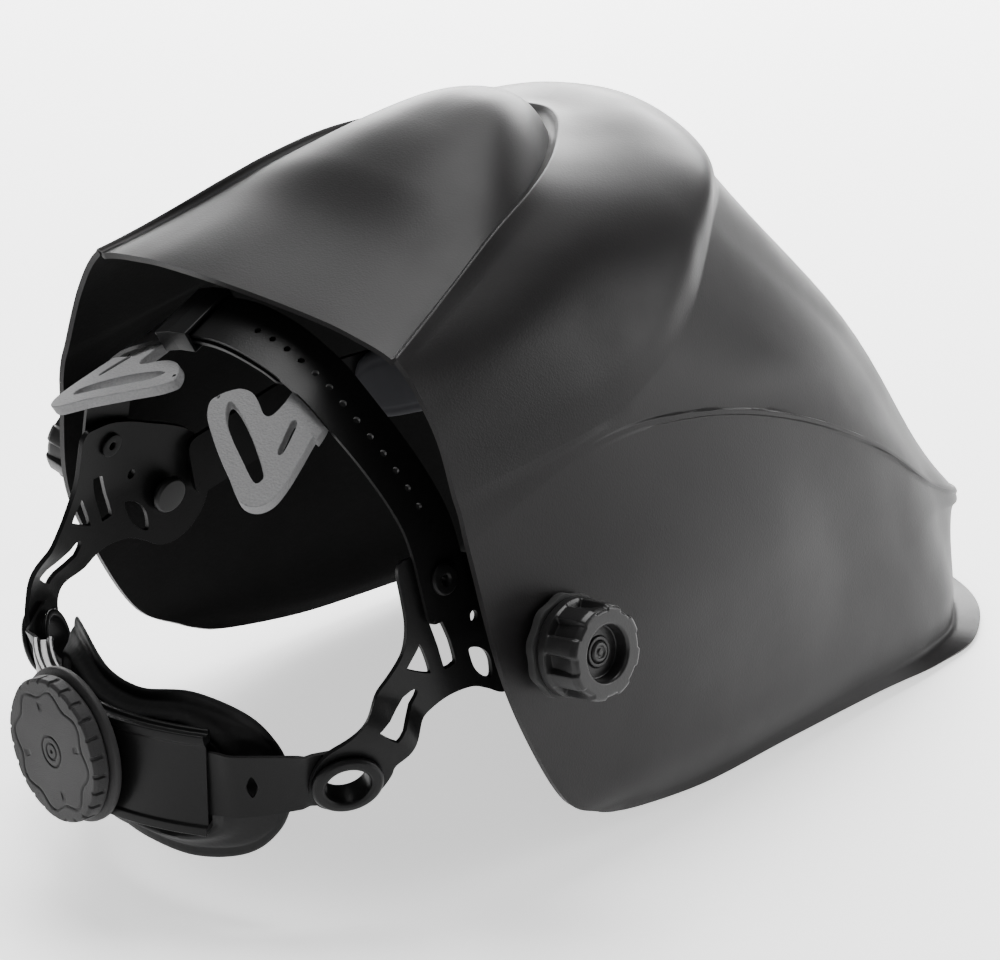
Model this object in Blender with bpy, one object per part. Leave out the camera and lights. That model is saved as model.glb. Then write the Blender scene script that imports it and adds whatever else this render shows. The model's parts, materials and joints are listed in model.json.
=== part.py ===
"""Welding helmet: a hollow shell with a window that tilts on a ratchet headgear.

Every table below is written in shares of the named sizes. The shell table counts
across in 240ths of the shell width, along in 360ths of the shell length and up in
260ths of the shell height, from a datum inside the shell. The headgear tables count
in 188ths of the head width, 210ths of the head length and 200ths of the head height
from the tilt axis. Left is +X, the face looks to -Y, up is +Z.
"""
import bpy
import bmesh
import numpy as np
from math import cos, pi, radians, sin
from mathutils import Vector
from mathutils.geometry import delaunay_2d_cdt

# driving sizes in metres
shell_width = 0.240
shell_length = 0.360
shell_height = 0.260
shell_wall = 0.0025
lens_thickness = 0.003
frame_border = 0.009
head_width = 0.188
head_length = 0.210
head_height = 0.200
band_thickness = 0.0020
strap_thickness = 0.0014
side_knob_diameter = 0.0365
side_knob_height = 0.0185
washer_thickness = 0.0035
bolt_diameter = 0.008
ratchet_diameter = 0.0548
ratchet_thickness = 0.0066
skirt_thickness = 0.0036
housing_height = 0.040
housing_depth = 0.0075
strap_width = 0.026
crown_width = 0.022
band_width = 0.025
cushion_thickness = 0.012
pad_thickness = 0.0045
clearance = 0.0003

# where the tilt axis crosses the shell, in shell shares
pivot_along = 94.0
pivot_up = -2.5
knob_lean = radians(10.0)

# shell sections from the bottom lip up to the roof crease, rear end to front centre
sections = {
    "lip": [(112.5, 53, -86), (111.5, 4, -92), (108.5, -51, -94), (106, -108, -96),
            (103.5, -154, -99), (96, -188, -99.5), (66, -218, -98.5), (0, -232, -97.5)],
    "root": [(114.8, 65, -80), (111.5, 6, -87.5), (107.5, -51, -89.5), (103.5, -108, -91),
             (98.5, -151, -94), (88, -181, -95), (58, -207, -94.5), (0, -220, -94)],
    "low": [(119, 88, -65), (117, 12, -66), (112, -49, -67), (106, -104, -71),
            (99, -150, -76), (87.5, -180, -77), (58.5, -207, -77), (0, -220.5, -77)],
    "chin": [(119.2, 109, -31), (119.5, 25, -24), (114.5, -35, -21), (107.5, -80, -26),
             (101, -124, -36), (89, -166, -45), (59, -211, -59), (0, -225, -62)],
    "knob": [(118.1, 123, 3), (118.5, 42, 12), (113.5, -18, 16), (106.5, -68, 8),
             (99.5, -120, -14), (87, -168, -38), (60, -214, -56), (0, -229, -60)],
    "jaw": [(109.5, 130, 50), (108.5, 62, 66.5), (106, 5, 60.5), (102, -55, 40),
            (95, -115, 8), (84.5, -166, -28), (59, -214, -53), (0, -229, -58)],
    "window_low": [(108.6, 130.3, 54), (108, 61.5, 68.5), (105.2, 7, 65), (100, -48, 50),
                   (92, -103, 26), (79, -150, -2), (51, -197, -29), (0, -209, -33)],
    "window_high": [(107, 130.5, 60), (107.5, 60, 70.5), (104, 9, 71), (97, -42, 64),
                    (87.5, -82, 54), (72, -117.5, 46.5), (48.5, -147, 42), (0, -159, 41)],
    "brow": [(104.5, 130.7, 66), (106.5, 59, 73), (103.5, 25, 83), (96, 1, 92.5),
             (86, -18, 102), (67, -46, 112), (40, -80, 113), (0, -106, 107)],
    "dome_low": [(98, 131, 84), (101, 65, 91), (97, 28, 102), (88, 0, 113),
                 (77, -23, 121), (60, -51, 128), (36, -72, 131), (0, -88, 130)],
    "dome_high": [(90, 132.5, 100), (88, 78, 113), (81, 42, 124), (71.5, 12, 131.5),
                  (60, -13, 137), (45, -33, 142), (26, -50, 146), (0, -59, 147)],
    "crease": [(80, 134, 115), (67.6, 93, 126.5), (60, 65, 136), (52.4, 39, 142.5),
               (41, 16, 145.5), (26.5, -4, 147), (13, -18, 148), (0, -24, 148)],
    "roof_rim": [(77, 134, 113.4), (65, 93, 124.7), (57.2, 66, 134), (49.6, 41, 140.4),
                 (38.4, 18.6, 143.3), (24.4, -0.6, 144.6), (12, -12.4, 145.4), (0, -17, 145.6)],
}
# how far the roof swells above its rim, at the rear end and then towards the tip
roof_swell = [4, 8.5, 13, 18, 21.5, 17, 6.5, 0]
bands = [("lip", "root"), ("root", "low", "chin", "knob", "jaw"),
         ("jaw", "window_low", "window_high", "brow"),
         ("brow", "dome_low", "dome_high", "crease"), ("crease", "roof_rim")]
band_steps = [1, 2, 1, 2, 1]
span_steps = 3

# side plate outline in the side view, along and up, from the top tab round the rear
plate_outline = [(135, 38.5), (139, 38), (141.2, 34.5), (141.2, 26), (141.3, 17), (143, 10),
                 (146, 4), (151, -2), (157.5, -8.5), (164, -15.5), (169.5, -21.5), (174.5, -26.5),
                 (176.6, -33), (176.8, -40), (174.8, -46.6), (170.4, -51.6), (164.5, -53.5),
                 (158, -51.5), (153.5, -46.5), (151.5, -40), (151, -35), (146.5, -30),
                 (141, -24.5), (133, -19.2), (124, -16.5), (113, -17), (105, -20.5),
                 (97, -25), (88, -25.5), (79, -21.5), (72.5, -14), (70, -4), (71, 6), (76, 15),
                 (84, 22), (94, 27), (104, 31), (114, 35), (125, 38)]
plate_slots = [
    [(131.8, 13.5), (130.5, 15.2), (127.8, 15), (126.2, 13), (121.3, -2.5), (122.2, -4.6),
     (125.2, -5.2), (127, -3.8)],
    [(137, 7.2), (138.4, 6.4), (142.8, 0.6), (142.2, -0.8), (134.4, -4.4), (133.2, -3.4)],
    [(141.8, -9.2), (139.4, -12), (151, -23), (153.4, -24), (158.2, -20.2), (157.6, -18)],
    [(114.2, -1.2), (113.6, -5), (111.6, -9.8), (108.4, -13.6), (104, -16.6), (102.4, -15.6),
     (103, -10), (105.4, -5.6), (109.6, -2.4)],
    [(112.6, 9.2), (112.6, 11.2), (111.2, 12.4), (109.6, 11.8), (109, 10.2), (109.8, 8.6),
     (111.4, 8.2)],
]
rivet_spot = (125.0, 28.5)
ring_spot = (165.4, -39.7)

# the housing sits a little to the left and turned, as the loose straps let it
rear_shift = 6.5
rear_yaw = radians(6.0)
rear_reach = head_width * 51 / 188
rear_bow = head_width * 17.5 / 188

# where the rear strap lies against the inside of the side plate, in the side view
strap_start = [(156.5, -38.6), (161, -39.3), (165.4, -39.7), (171, -40.2), (175.6, -40.7),
               (179.4, -41.2)]

# crown strap middle line from foot to crown, with the lean of its width in degrees
crown_line = [(94.2, 123.5, 15, 0), (92.7, 124, 21, 0), (90.6, 124.6, 29.5, 0),
              (88.4, 125.2, 38.5, 0),
              (84.9, 126.4, 49, 2), (79.8, 128, 58, 5), (72.5, 130, 67.5, 9), (62.5, 132, 77.5, 13),
              (51, 133.6, 86.5, 17), (38, 134.4, 94, 21), (20, 134.8, 100.5, 24), (0, 135, 103, 24)]

# front band middle line from the side plate to the forehead, and its lean
front_line = [(88, 83.5, 4.5, 0), (87.9, 72, 6.5, 0), (87.5, 56, 10, 0), (83.5, 32, 17, 2), (72, 8, 23, 4),
              (52, -13, 29, 6), (27, -25.5, 33, 8), (0, -30, 34, 8)]

# crown pad seen from above: across, along
crown_pad = [(10, 160), (11, 156.5), (13.5, 153.5), (17, 151), (22, 150.4), (27, 152), (32, 154.4),
             (35, 153.4), (35.6, 148), (35, 142), (36.5, 138.6), (41, 137), (46, 137.6),
             (50.5, 141), (52.4, 146), (53.6, 152), (55.6, 160), (57.2, 168), (57.4, 175),
             (54.6, 180), (49.6, 182), (44, 180.4), (38, 177.6), (30, 174.2), (22, 170), (14, 165)]
crown_pad_slots = [
    [(17, 157.6), (19.6, 157), (28, 160), (38, 164.6), (48, 170), (49.4, 172.4), (47.4, 174.2),
     (38, 170.8), (29, 167), (21, 162.6)],
    [(43, 151), (45, 150.4), (47, 155), (48.6, 161), (47, 162), (45, 157)],
]


def clear_scene():
    """Empty the file."""
    for item in list(bpy.data.objects):
        bpy.data.objects.remove(item, do_unlink=True)
    for item in list(bpy.data.meshes):
        bpy.data.meshes.remove(item)


def material(name, colour, rough, metal=0.0):
    """Plain Principled material."""
    mat = bpy.data.materials.new(name)
    mat.use_nodes = True
    bsdf = mat.node_tree.nodes["Principled BSDF"]
    bsdf.inputs["Base Color"].default_value = (*colour, 1.0)
    bsdf.inputs["Roughness"].default_value = rough
    bsdf.inputs["Metallic"].default_value = metal
    return mat


def solid(name, verts, faces, mat):
    """Weld equal points, drop empty faces and turn every face outward."""
    index = {}
    points = []
    remap = []
    for v in verts:
        key = (round(float(v[0]), 6), round(float(v[1]), 6), round(float(v[2]), 6))
        if key not in index:
            index[key] = len(points)
            points.append(key)
        remap.append(index[key])
    clean = []
    for face in faces:
        loop = []
        for i in face:
            j = remap[i]
            if j not in loop:
                loop.append(j)
        if len(loop) > 2:
            clean.append(loop)
    mesh = bpy.data.meshes.new(name)
    mesh.from_pydata(points, [], clean)
    bm = bmesh.new()
    bm.from_mesh(mesh)
    bmesh.ops.triangulate(bm, faces=bm.faces[:])
    bmesh.ops.recalc_face_normals(bm, faces=bm.faces[:])
    if bm.calc_volume(signed=True) < 0:
        bmesh.ops.reverse_faces(bm, faces=bm.faces[:])
    bm.to_mesh(mesh)
    bm.free()
    obj = bpy.data.objects.new(name, mesh)
    bpy.context.scene.collection.objects.link(obj)
    mesh.materials.append(mat)
    return obj


def cut(target, cutter):
    """Take the cutter out of the target."""
    mod = target.modifiers.new("cut", "BOOLEAN")
    mod.operation = "DIFFERENCE"
    mod.solver = "EXACT"
    mod.object = cutter
    bpy.context.view_layer.objects.active = target
    bpy.ops.object.modifier_apply(modifier=mod.name)
    cutter_mesh = cutter.data
    bpy.data.objects.remove(cutter, do_unlink=True)
    bpy.data.meshes.remove(cutter_mesh)


def shell_point(p):
    """Shell shares to metres."""
    p = np.asarray(p, float)
    return p * np.array([shell_width / 240, shell_length / 360, shell_height / 260])


pivot = shell_point((0, pivot_along, pivot_up))


def head_point(p):
    """Headgear shares to metres, held at the tilt axis."""
    p = np.asarray(p, float)
    scale = np.array([head_width / 188, head_length / 210, head_height / 200])
    return (p[..., :3] - np.array([0, pivot_along, pivot_up])) * scale + pivot


def on_head(line, side):
    """Headgear line in metres and its width directions, from points with leans."""
    line = np.asarray(line, float)
    return head_point(line[:, :3]), side(line[:, 3])


def through(points, steps, mirror_end):
    """Smooth curve through the points, as a row of evenly stepped points."""
    points = np.asarray(points, float)
    first = 2 * points[0] - points[1]
    last = 2 * points[-1] - points[-2]
    if mirror_end:
        last = points[-2] * np.array([-1, 1, 1])
    q = np.vstack([first, points, last])
    t = np.arange(steps)[:, None] / steps
    out = []
    for i in range(len(points) - 1):
        a, b, c, d = q[i], q[i + 1], q[i + 2], q[i + 3]
        out.append(0.5 * (2 * b + (c - a) * t + (2 * a - 5 * b + 4 * c - d) * t ** 2
                          + (3 * b - a - 3 * c + d) * t ** 3))
    out.append(points[-1:])
    return np.vstack(out)


def shell_half():
    """Left half of the outside as a grid, lip first, rear end to front centre."""
    rows = []
    for names, steps in zip(bands, band_steps):
        curves = np.array([through(sections[n], span_steps, True) for n in names])
        first = 2 * curves[:1] - curves[1:2]
        last = 2 * curves[-1:] - curves[-2:-1]
        q = np.concatenate([first, curves, last])
        for i in range(len(names) - 1):
            a, b, c, d = q[i], q[i + 1], q[i + 2], q[i + 3]
            for k in range(steps):
                t = k / steps
                rows.append(0.5 * (2 * b + (c - a) * t + (2 * a - 5 * b + 4 * c - d) * t ** 2
                                   + (3 * b - a - 3 * c + d) * t ** 3))
    rows.append(through(sections["roof_rim"], span_steps, True))
    return np.array(rows)


def row_number(name):
    """Grid row at which a section lies."""
    count = 0
    for names, steps in zip(bands, band_steps):
        if name in names:
            return count + names.index(name) * steps
        count += (len(names) - 1) * steps
    return count


def shell_outside():
    """Points and faces of the whole outside, with the window left open."""
    half = shell_half()
    right = half * np.array([-1, 1, 1])
    grid = np.concatenate([right[:, :-1], half[:, ::-1]], axis=1)
    rows, cols = grid.shape[:2]
    verts = [tuple(p) for p in grid.reshape(-1, 3)]
    faces = []
    low, high = row_number("window_low"), row_number("window_high")
    middle = (cols - 1) // 2
    for i in range(rows - 1):
        for j in range(cols - 1):
            if low <= i < high and middle - span_steps <= j < middle + span_steps:
                continue
            faces.append((i * cols + j, i * cols + j + 1, (i + 1) * cols + j + 1, (i + 1) * cols + j))
    rim = half[-1]
    swell = through([(s, 0, 0) for s in roof_swell], span_steps, False)[:, 0]
    swell[-1] = 0
    across = np.array([-1, -0.75, -0.45, -0.15, 0.15, 0.45, 0.75, 1])
    base = len(verts)
    for p, lift in zip(rim, swell):
        for a in across:
            verts.append((p[0] * a, p[1], p[2] + lift * (1 - a * a)))
    n = len(across)
    for i in range(len(rim) - 1):
        for j in range(n - 1):
            faces.append((base + i * n + j, base + i * n + j + 1,
                          base + (i + 1) * n + j + 1, base + (i + 1) * n + j))
    return shell_point(verts), faces


def thicken(verts, faces, wall):
    """Closed body between a surface and its copy set inward by the wall."""
    index = {}
    points = []
    remap = []
    for v in verts:
        key = (round(float(v[0]), 6), round(float(v[1]), 6), round(float(v[2]), 6))
        if key not in index:
            index[key] = len(points)
            points.append(key)
        remap.append(index[key])
    clean = []
    for face in faces:
        loop = []
        for i in face:
            j = remap[i]
            if j not in loop:
                loop.append(j)
        if len(loop) > 2:
            clean.append(loop)
    mesh = bpy.data.meshes.new("work")
    mesh.from_pydata(points, [], clean)
    bm = bmesh.new()
    bm.from_mesh(mesh)
    bmesh.ops.recalc_face_normals(bm, faces=bm.faces[:])
    bm.verts.ensure_lookup_table()
    centre = Vector(shell_point((0, 0, 20)))
    away = sum(f.normal.dot(f.calc_center_median() - centre) for f in bm.faces)
    if away < 0:
        bmesh.ops.reverse_faces(bm, faces=bm.faces[:])
    bm.normal_update()
    outer = [v.co.copy() for v in bm.verts]
    inner = []
    for v in bm.verts:
        lean = sum((f.normal.dot(v.normal) for f in v.link_faces), 0.0) / len(v.link_faces)
        inner.append(v.co - v.normal * wall / max(lean, 0.8))
    count = len(outer)
    out_faces = [[v.index for v in f.verts] for f in bm.faces]
    walls = []
    for edge in bm.edges:
        if len(edge.link_faces) == 1:
            a, b = edge.verts[0].index, edge.verts[1].index
            walls.append((a, b, b + count, a + count))
    bm.free()
    bpy.data.meshes.remove(mesh)
    back = [[i + count for i in reversed(f)] for f in out_faces]
    return [tuple(p) for p in outer + inner], out_faces + back + walls, inner


def lathe(name, profile, origin, axis, mat, sides=32, flute=None):
    """Body turned about an axis; profile is radius and height pairs, flute shapes the rim."""
    axis = np.asarray(axis, float)
    axis = axis / np.linalg.norm(axis)
    helper = np.array([0, 0, 1.0]) if abs(axis[2]) < 0.9 else np.array([1.0, 0, 0])
    u = np.cross(axis, helper)
    u /= np.linalg.norm(u)
    w = np.cross(axis, u)
    verts = []
    faces = []
    count = len(profile)
    for k in range(sides):
        turn = 2 * pi * k / sides
        for i, (r, h) in enumerate(profile):
            radius = r * (flute(turn, i) if flute else 1.0)
            verts.append(np.asarray(origin) + axis * h + (u * cos(turn) + w * sin(turn)) * radius)
    for k in range(sides):
        n = (k + 1) % sides
        for i in range(count - 1):
            faces.append((k * count + i, n * count + i, n * count + i + 1, k * count + i + 1))
        if profile[0][0] > 1e-6 and profile[-1][0] > 1e-6:
            faces.append((k * count + count - 1, n * count + count - 1, n * count, k * count))
    return solid(name, verts, faces, mat)


def ribbon(name, line, wides, half_width, thickness, mat, offset=0.0, steps=3):
    """Flat strap swept along a line in metres, with the direction of its width at each point."""
    line = np.asarray(line, float)
    pos = through(line, steps, False)
    run = np.gradient(pos, axis=0)
    run /= np.linalg.norm(run, axis=1)[:, None]
    at = np.linspace(0, len(line) - 1, len(pos))
    wide = np.column_stack([np.interp(at, range(len(line)), wides[:, k]) for k in range(3)])
    wide = wide - run * np.einsum("ij,ij->i", wide, run)[:, None]
    wide /= np.linalg.norm(wide, axis=1)[:, None]
    out = np.cross(run, wide)
    flip = np.sign(np.einsum("ij,ij->i", out, pos - head_point((0, 80, 10))))
    out *= flip[:, None]
    halves = np.full(len(pos), half_width)
    halves[0] *= 0.6
    halves[-1] *= 0.6
    pos = pos + out * offset
    verts = []
    corners = ((-1, -0.5), (1, -0.5), (1, 0.5), (-1, 0.5))
    for p, w, o, h in zip(pos, wide, out, halves):
        for a, b in corners:
            verts.append(p + w * a * h + o * b * thickness)
    faces = []
    n = len(corners)
    for i in range(len(pos) - 1):
        for j in range(n):
            k = (j + 1) % n
            faces.append((i * n + j, i * n + k, (i + 1) * n + k, (i + 1) * n + j))
    last = (len(pos) - 1) * n
    faces.append(tuple(range(n)))
    faces.append(tuple(last + j for j in range(n)))
    return solid(name, verts, faces, mat)


def inside(points, loop):
    """Which points lie inside a closed loop."""
    x, y = points[:, 0], points[:, 1]
    hit = np.zeros(len(points), bool)
    loop = np.asarray(loop, float)
    for a, b in zip(loop, np.roll(loop, -1, axis=0)):
        cross = (a[1] > y) != (b[1] > y)
        with np.errstate(divide="ignore", invalid="ignore"):
            at = a[0] + (y - a[1]) * (b[0] - a[0]) / (b[1] - a[1])
        hit ^= cross & (x < at)
    return hit


def sheet_body(name, outline, holes, place, mat, grid=None):
    """Closed plate: a flat outline with holes, put in space by place(flat, side)."""
    loops = [np.asarray(outline, float)] + [np.asarray(h, float) for h in holes]
    flat = []
    edges = []
    for loop in loops:
        start = len(flat)
        flat += [tuple(p) for p in loop]
        edges += [(start + i, start + (i + 1) % len(loop)) for i in range(len(loop))]
    if grid:
        low, high = loops[0].min(0), loops[0].max(0)
        gx, gy = np.meshgrid(np.arange(low[0] + grid / 2, high[0], grid),
                             np.arange(low[1] + grid / 2, high[1], grid))
        extra = np.column_stack([gx.ravel(), gy.ravel()])
        keep = inside(extra, loops[0])
        for loop in loops[1:]:
            keep &= ~inside(extra, loop)
        for loop in loops:
            a, b = loop, np.roll(loop, -1, axis=0)
            ab = b - a
            t = np.einsum("kij,ij->ki", extra[:, None] - a[None], ab) / np.einsum("ij,ij->i", ab, ab)
            near = a[None] + np.clip(t, 0, 1)[..., None] * ab[None]
            keep &= np.linalg.norm(extra[:, None] - near, axis=2).min(1) > grid * 0.3
        flat += [tuple(p) for p in extra[keep]]
    result = delaunay_2d_cdt([Vector(p) for p in flat], edges, [], 0, 1e-6)
    pts = np.array([tuple(p) for p in result[0]])
    tris = [tuple(f) for f in result[2]]
    mids = np.array([pts[list(f)].mean(0) for f in tris])
    keep = inside(mids, loops[0])
    for loop in loops[1:]:
        keep &= ~inside(mids, loop)
    tris = [f for f, k in zip(tris, keep) if k]
    count = len(pts)
    used = {}
    for f in tris:
        for a, b in zip(f, f[1:] + f[:1]):
            used[(a, b)] = True
    rim = [(a, b) for a, b in used if (b, a) not in used]
    faces = [tuple(f) for f in tris] + [tuple(i + count for i in reversed(f)) for f in tris]
    faces += [(a, a + count, b + count, b) for a, b in rim]
    verts = list(place(pts, 0)) + list(place(pts, 1))
    keepers = sorted({i for f in faces for i in f})
    order = {old: new for new, old in enumerate(keepers)}
    faces = [tuple(order[i] for i in f) for f in faces]
    return solid(name, [verts[i] for i in keepers], faces, mat)


def plate_across(flat):
    """Half width of the side plate at points of the side view; flat and turned round the ring."""
    y, z = flat[:, 0], flat[:, 1]
    bend = 94.3 - 0.0032 * np.clip(y - 115, 0, None) ** 2
    top = 0.24 * (np.sqrt(np.clip(z - 4, 0, None) ** 2 + 16) - 4)
    ring = 83 - 0.62 * (y - ring_spot[0]) + 0.40 * (z - ring_spot[1])
    away = np.hypot(y - ring_spot[0], z - ring_spot[1])
    near = np.clip((36 - away) / 20, 0, 1)
    near = near * near * (3 - 2 * near)
    return (bend - top) * (1 - near) + ring * near


def plate_place(hand):
    """Side plate surfaces: outer skin and the inner skin one band thickness in."""
    def place(flat, side):
        x = plate_across(flat)
        step = 0.4
        dy = (plate_across(flat + [step, 0]) - plate_across(flat - [step, 0])) / (2 * step)
        dz = (plate_across(flat + [0, step]) - plate_across(flat - [0, step])) / (2 * step)
        p = head_point(np.column_stack([x, flat]))
        n = np.column_stack([np.ones(len(x)), -dy, -dz])
        n /= np.linalg.norm(n, axis=1)[:, None]
        p = p - n * band_thickness * side
        return p * np.array([hand, 1, 1])
    return place


def plate_spot(spot, hand):
    """Point and outward direction of the side plate at a place in the side view."""
    flat = np.array([spot], float)
    outer = plate_place(hand)(flat, 0)[0]
    inner = plate_place(hand)(flat, 1)[0]
    out = (outer - inner) / np.linalg.norm(outer - inner)
    return outer, out


def circle(spot, radius, sides=12):
    """Ring of points in the side view."""
    return [(spot[0] + radius * cos(2 * pi * k / sides), spot[1] + radius * sin(2 * pi * k / sides))
            for k in range(sides)]


def upright(lean):
    """Width direction of a standing band; the lean brings its lower side inward."""
    return np.column_stack([np.zeros(len(lean)), np.sin(np.radians(lean)), np.cos(np.radians(lean))])


def crosswise(lean):
    """Width direction of the crown strap; the lean lifts its front edge."""
    return np.column_stack([np.zeros(len(lean)), -np.cos(np.radians(lean)), np.sin(np.radians(lean))])


def build_shell(black):
    """Hollow shell with a bottom lip, a sunk roof panel and a window hole."""
    verts, faces = shell_outside()
    points, closed, inner = thicken(verts, faces, shell_wall)
    return solid("shell", points, closed, black), np.array([tuple(p) for p in inner])


def window_axes():
    """Middle, across, up and outward directions of the window plane."""
    low = shell_point(sections["window_low"][-1])
    high = shell_point(sections["window_high"][-1])
    up = (high - low) / np.linalg.norm(high - low)
    out = np.cross(np.array([1.0, 0, 0]), up)
    if out[1] > 0:
        out = -out
    half_up = np.linalg.norm(high - low) / 2
    corner = min(sections["window_low"][-2][0], sections["window_high"][-2][0])
    half_across = corner * shell_width / 240
    return (low + high) / 2, np.array([1.0, 0, 0]), up, out, half_across, half_up


def build_window(inner, frame_mat, glass):
    """Inside frame that follows the shell and the flat lens that sits in it."""
    mid, across, up, out, half_across, half_up = window_axes()
    rel = inner - mid
    at = np.column_stack([rel @ across, rel @ up])
    height = rel @ out
    near = (abs(at[:, 0]) < half_across + 0.03) & (abs(at[:, 1]) < half_up + 0.03) & (height > -0.05)
    at, height = at[near], height[near]
    def loop(a, b):
        pts = []
        for k in range(6):
            pts.append((-a + 2 * a * k / 6, -b))
        for k in range(6):
            pts.append((a, -b + 2 * b * k / 6))
        for k in range(6):
            pts.append((a - 2 * a * k / 6, b))
        for k in range(6):
            pts.append((-a, b - 2 * b * k / 6))
        return np.array(pts)
    def front(p):
        away = np.linalg.norm(at - p, axis=1)
        order = np.argsort(away)[:4]
        return height[order].min() - 0.0012
    inner_loop = loop(half_across - 0.003, half_up - 0.003)
    outer_loop = loop(half_across + frame_border, half_up + frame_border)
    front_in = np.array([front(p) for p in inner_loop])
    front_out = np.array([front(p) for p in outer_loop])
    back = min(front_in.min(), front_out.min()) - 0.004
    def put(p, h):
        return mid + across * p[0] + up * p[1] + out * h
    verts = [put(p, h) for p, h in zip(inner_loop, front_in)]
    verts += [put(p, h) for p, h in zip(outer_loop, front_out)]
    verts += [put(p, back) for p in outer_loop]
    verts += [put(p, back) for p in inner_loop]
    n = len(inner_loop)
    faces = []
    for ring in range(4):
        nxt = (ring + 1) % 4
        for k in range(n):
            m = (k + 1) % n
            faces.append((ring * n + k, ring * n + m, nxt * n + m, nxt * n + k))
    solid("window_frame", verts, faces, frame_mat)
    a = half_across - 0.003 - clearance
    b = half_up - 0.003 - clearance
    verts = []
    for h in (back + 0.0005, back + 0.0005 + lens_thickness):
        for p in ((-a, -b), (a, -b), (a, b), (-a, b)):
            verts.append(put(p, h))
    faces = [(0, 1, 2, 3), (4, 5, 6, 7), (0, 1, 5, 4), (1, 2, 6, 5), (2, 3, 7, 6), (3, 0, 4, 7)]
    solid("window_lens", verts, faces, glass)


def wall_across():
    """Outside half width of the shell where the bolt comes through."""
    half = shell_point(shell_half().reshape(-1, 3))
    spot = np.array([pivot[1], pivot[2] + 0.004])
    away = np.linalg.norm(half[:, 1:] - spot, axis=1)
    order = np.argsort(away)[:3]
    return half[order, 0].mean()


def build_pivot(hand, name, black, rubber, metal):
    """Bolt, spacer, washer and fluted tension knob on one side; they ride on the shell."""
    plate = head_point((94.3, pivot_along, pivot_up))[0]
    origin = np.array([plate * hand, pivot[1], pivot[2]])
    axis = np.array([hand * cos(knob_lean), 0, sin(knob_lean)])
    wall = (wall_across() - plate) / cos(knob_lean)
    tilt = sin(knob_lean)
    bolt = bolt_diameter / 2
    washer_radius = side_knob_diameter * 0.535
    seat = wall + washer_radius * 0.13
    knob_base = seat + washer_thickness + clearance
    knob_top = knob_base + side_knob_height
    head = -band_thickness - bolt * 1.9 * tilt - 0.0012
    lathe("pivot_bolt_" + name,
          [(0, head - 0.0025), (bolt * 1.7, head - 0.0025), (bolt * 1.9, head - 0.0015), (bolt * 1.9, head),
           (bolt, head), (bolt, knob_top - 0.0045), (bolt * 0.8, knob_top - 0.0035),
           (0, knob_top - 0.0035)],
          origin, axis, metal, 20)
    inner = wall - shell_wall / cos(knob_lean)
    spacer = bolt * 2.2
    start = spacer * tilt + 0.0012
    stop = inner - spacer * 0.22 - clearance
    lathe("pivot_spacer_" + name,
          [(bolt + clearance, start), (spacer, start), (spacer, stop), (bolt + clearance, stop)],
          origin, axis, black, 24)
    def scallop(turn, i):
        return 1.0 - 0.045 * (0.5 + 0.5 * cos(10 * turn))
    lathe("knob_washer_" + name,
          [(bolt + clearance, seat), (washer_radius, seat), (washer_radius, seat + washer_thickness),
           (bolt + clearance, seat + washer_thickness)],
          origin, axis, rubber, 40, scallop)
    radius = side_knob_diameter / 2
    def flutes(turn, i):
        if i < 1 or i > 4:
            return 1.0
        return 1.0 - 0.085 * max(0.0, cos(8 * turn)) ** 3
    lathe("pivot_knob_" + name,
          [(bolt + clearance, knob_base), (radius * 0.93, knob_base), (radius, knob_base + 0.0015),
           (radius, knob_top - 0.003), (radius * 0.86, knob_top), (radius * 0.58, knob_top),
           (radius * 0.55, knob_top - 0.0055), (bolt + clearance, knob_top - 0.0055)],
          origin, axis, black, 40, flutes)
    hole = lathe("cutter", [(0, inner - 0.004), (bolt + clearance, inner - 0.004),
                            (bolt + clearance, wall + 0.004), (0, wall + 0.004)],
                 origin, axis, black, 20)
    cut(bpy.data.objects["shell"], hole)


def build_side(hand, name, black, metal):
    """Side plate with its slots, rivets, rear strap and front band end on one side."""
    unit = head_length / 210
    bolt_hole = circle((pivot_along, pivot_up), (bolt_diameter / 2 + 0.0008) / unit, 16)
    ring_hole = circle(ring_spot, 7.6, 16)
    rivet_hole = circle(rivet_spot, 3.2, 10)
    sheet_body("side_plate_" + name, plate_outline, plate_slots + [bolt_hole, ring_hole, rivet_hole],
               plate_place(hand), black, 8.0)
    spot, out = plate_spot(rivet_spot, hand)
    gap = strap_thickness + 2 * clearance + 0.0012
    low, high = -band_thickness - clearance, gap + clearance
    tube, hole, flange = 0.0025, 0.0016, 0.0058
    lathe("crown_rivet_" + name,
          [(hole, low - 0.0012), (flange * 0.85, low - 0.0012), (flange * 0.85, low), (tube, low),
           (tube, high), (flange, high), (flange, high + 0.0016), (hole, high + 0.0016)],
          spot, out, black, 16)
    spot, out = plate_spot(ring_spot, hand)
    low, high = -band_thickness - strap_thickness - 0.0022, 0.0009
    tube, hole, flange = 0.0068, 0.0058, 0.0118
    lathe("strap_ring_" + name,
          [(hole, low - 0.0015), (flange * 0.8, low - 0.0015), (flange * 0.8, low), (tube, low),
           (tube, high), (flange, high), (flange, high + 0.002), (flange * 0.78, high + 0.003),
           (hole, high + 0.003)],
          spot, out, black, 20)


def rear_frame():
    """Middle of the housing and its outward and sideways directions."""
    mid = head_point((rear_shift, 211, -41))
    out = np.array([sin(rear_yaw), cos(rear_yaw), 0.0])
    side = np.array([cos(rear_yaw), -sin(rear_yaw), 0.0])
    return mid, out, side


def rear_arc(a):
    """Point on the bent middle line of the housing, from -1 at the right end to 1 at the left."""
    mid, out, side = rear_frame()
    return mid + side * rear_reach * a - out * rear_bow * a * a


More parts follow.
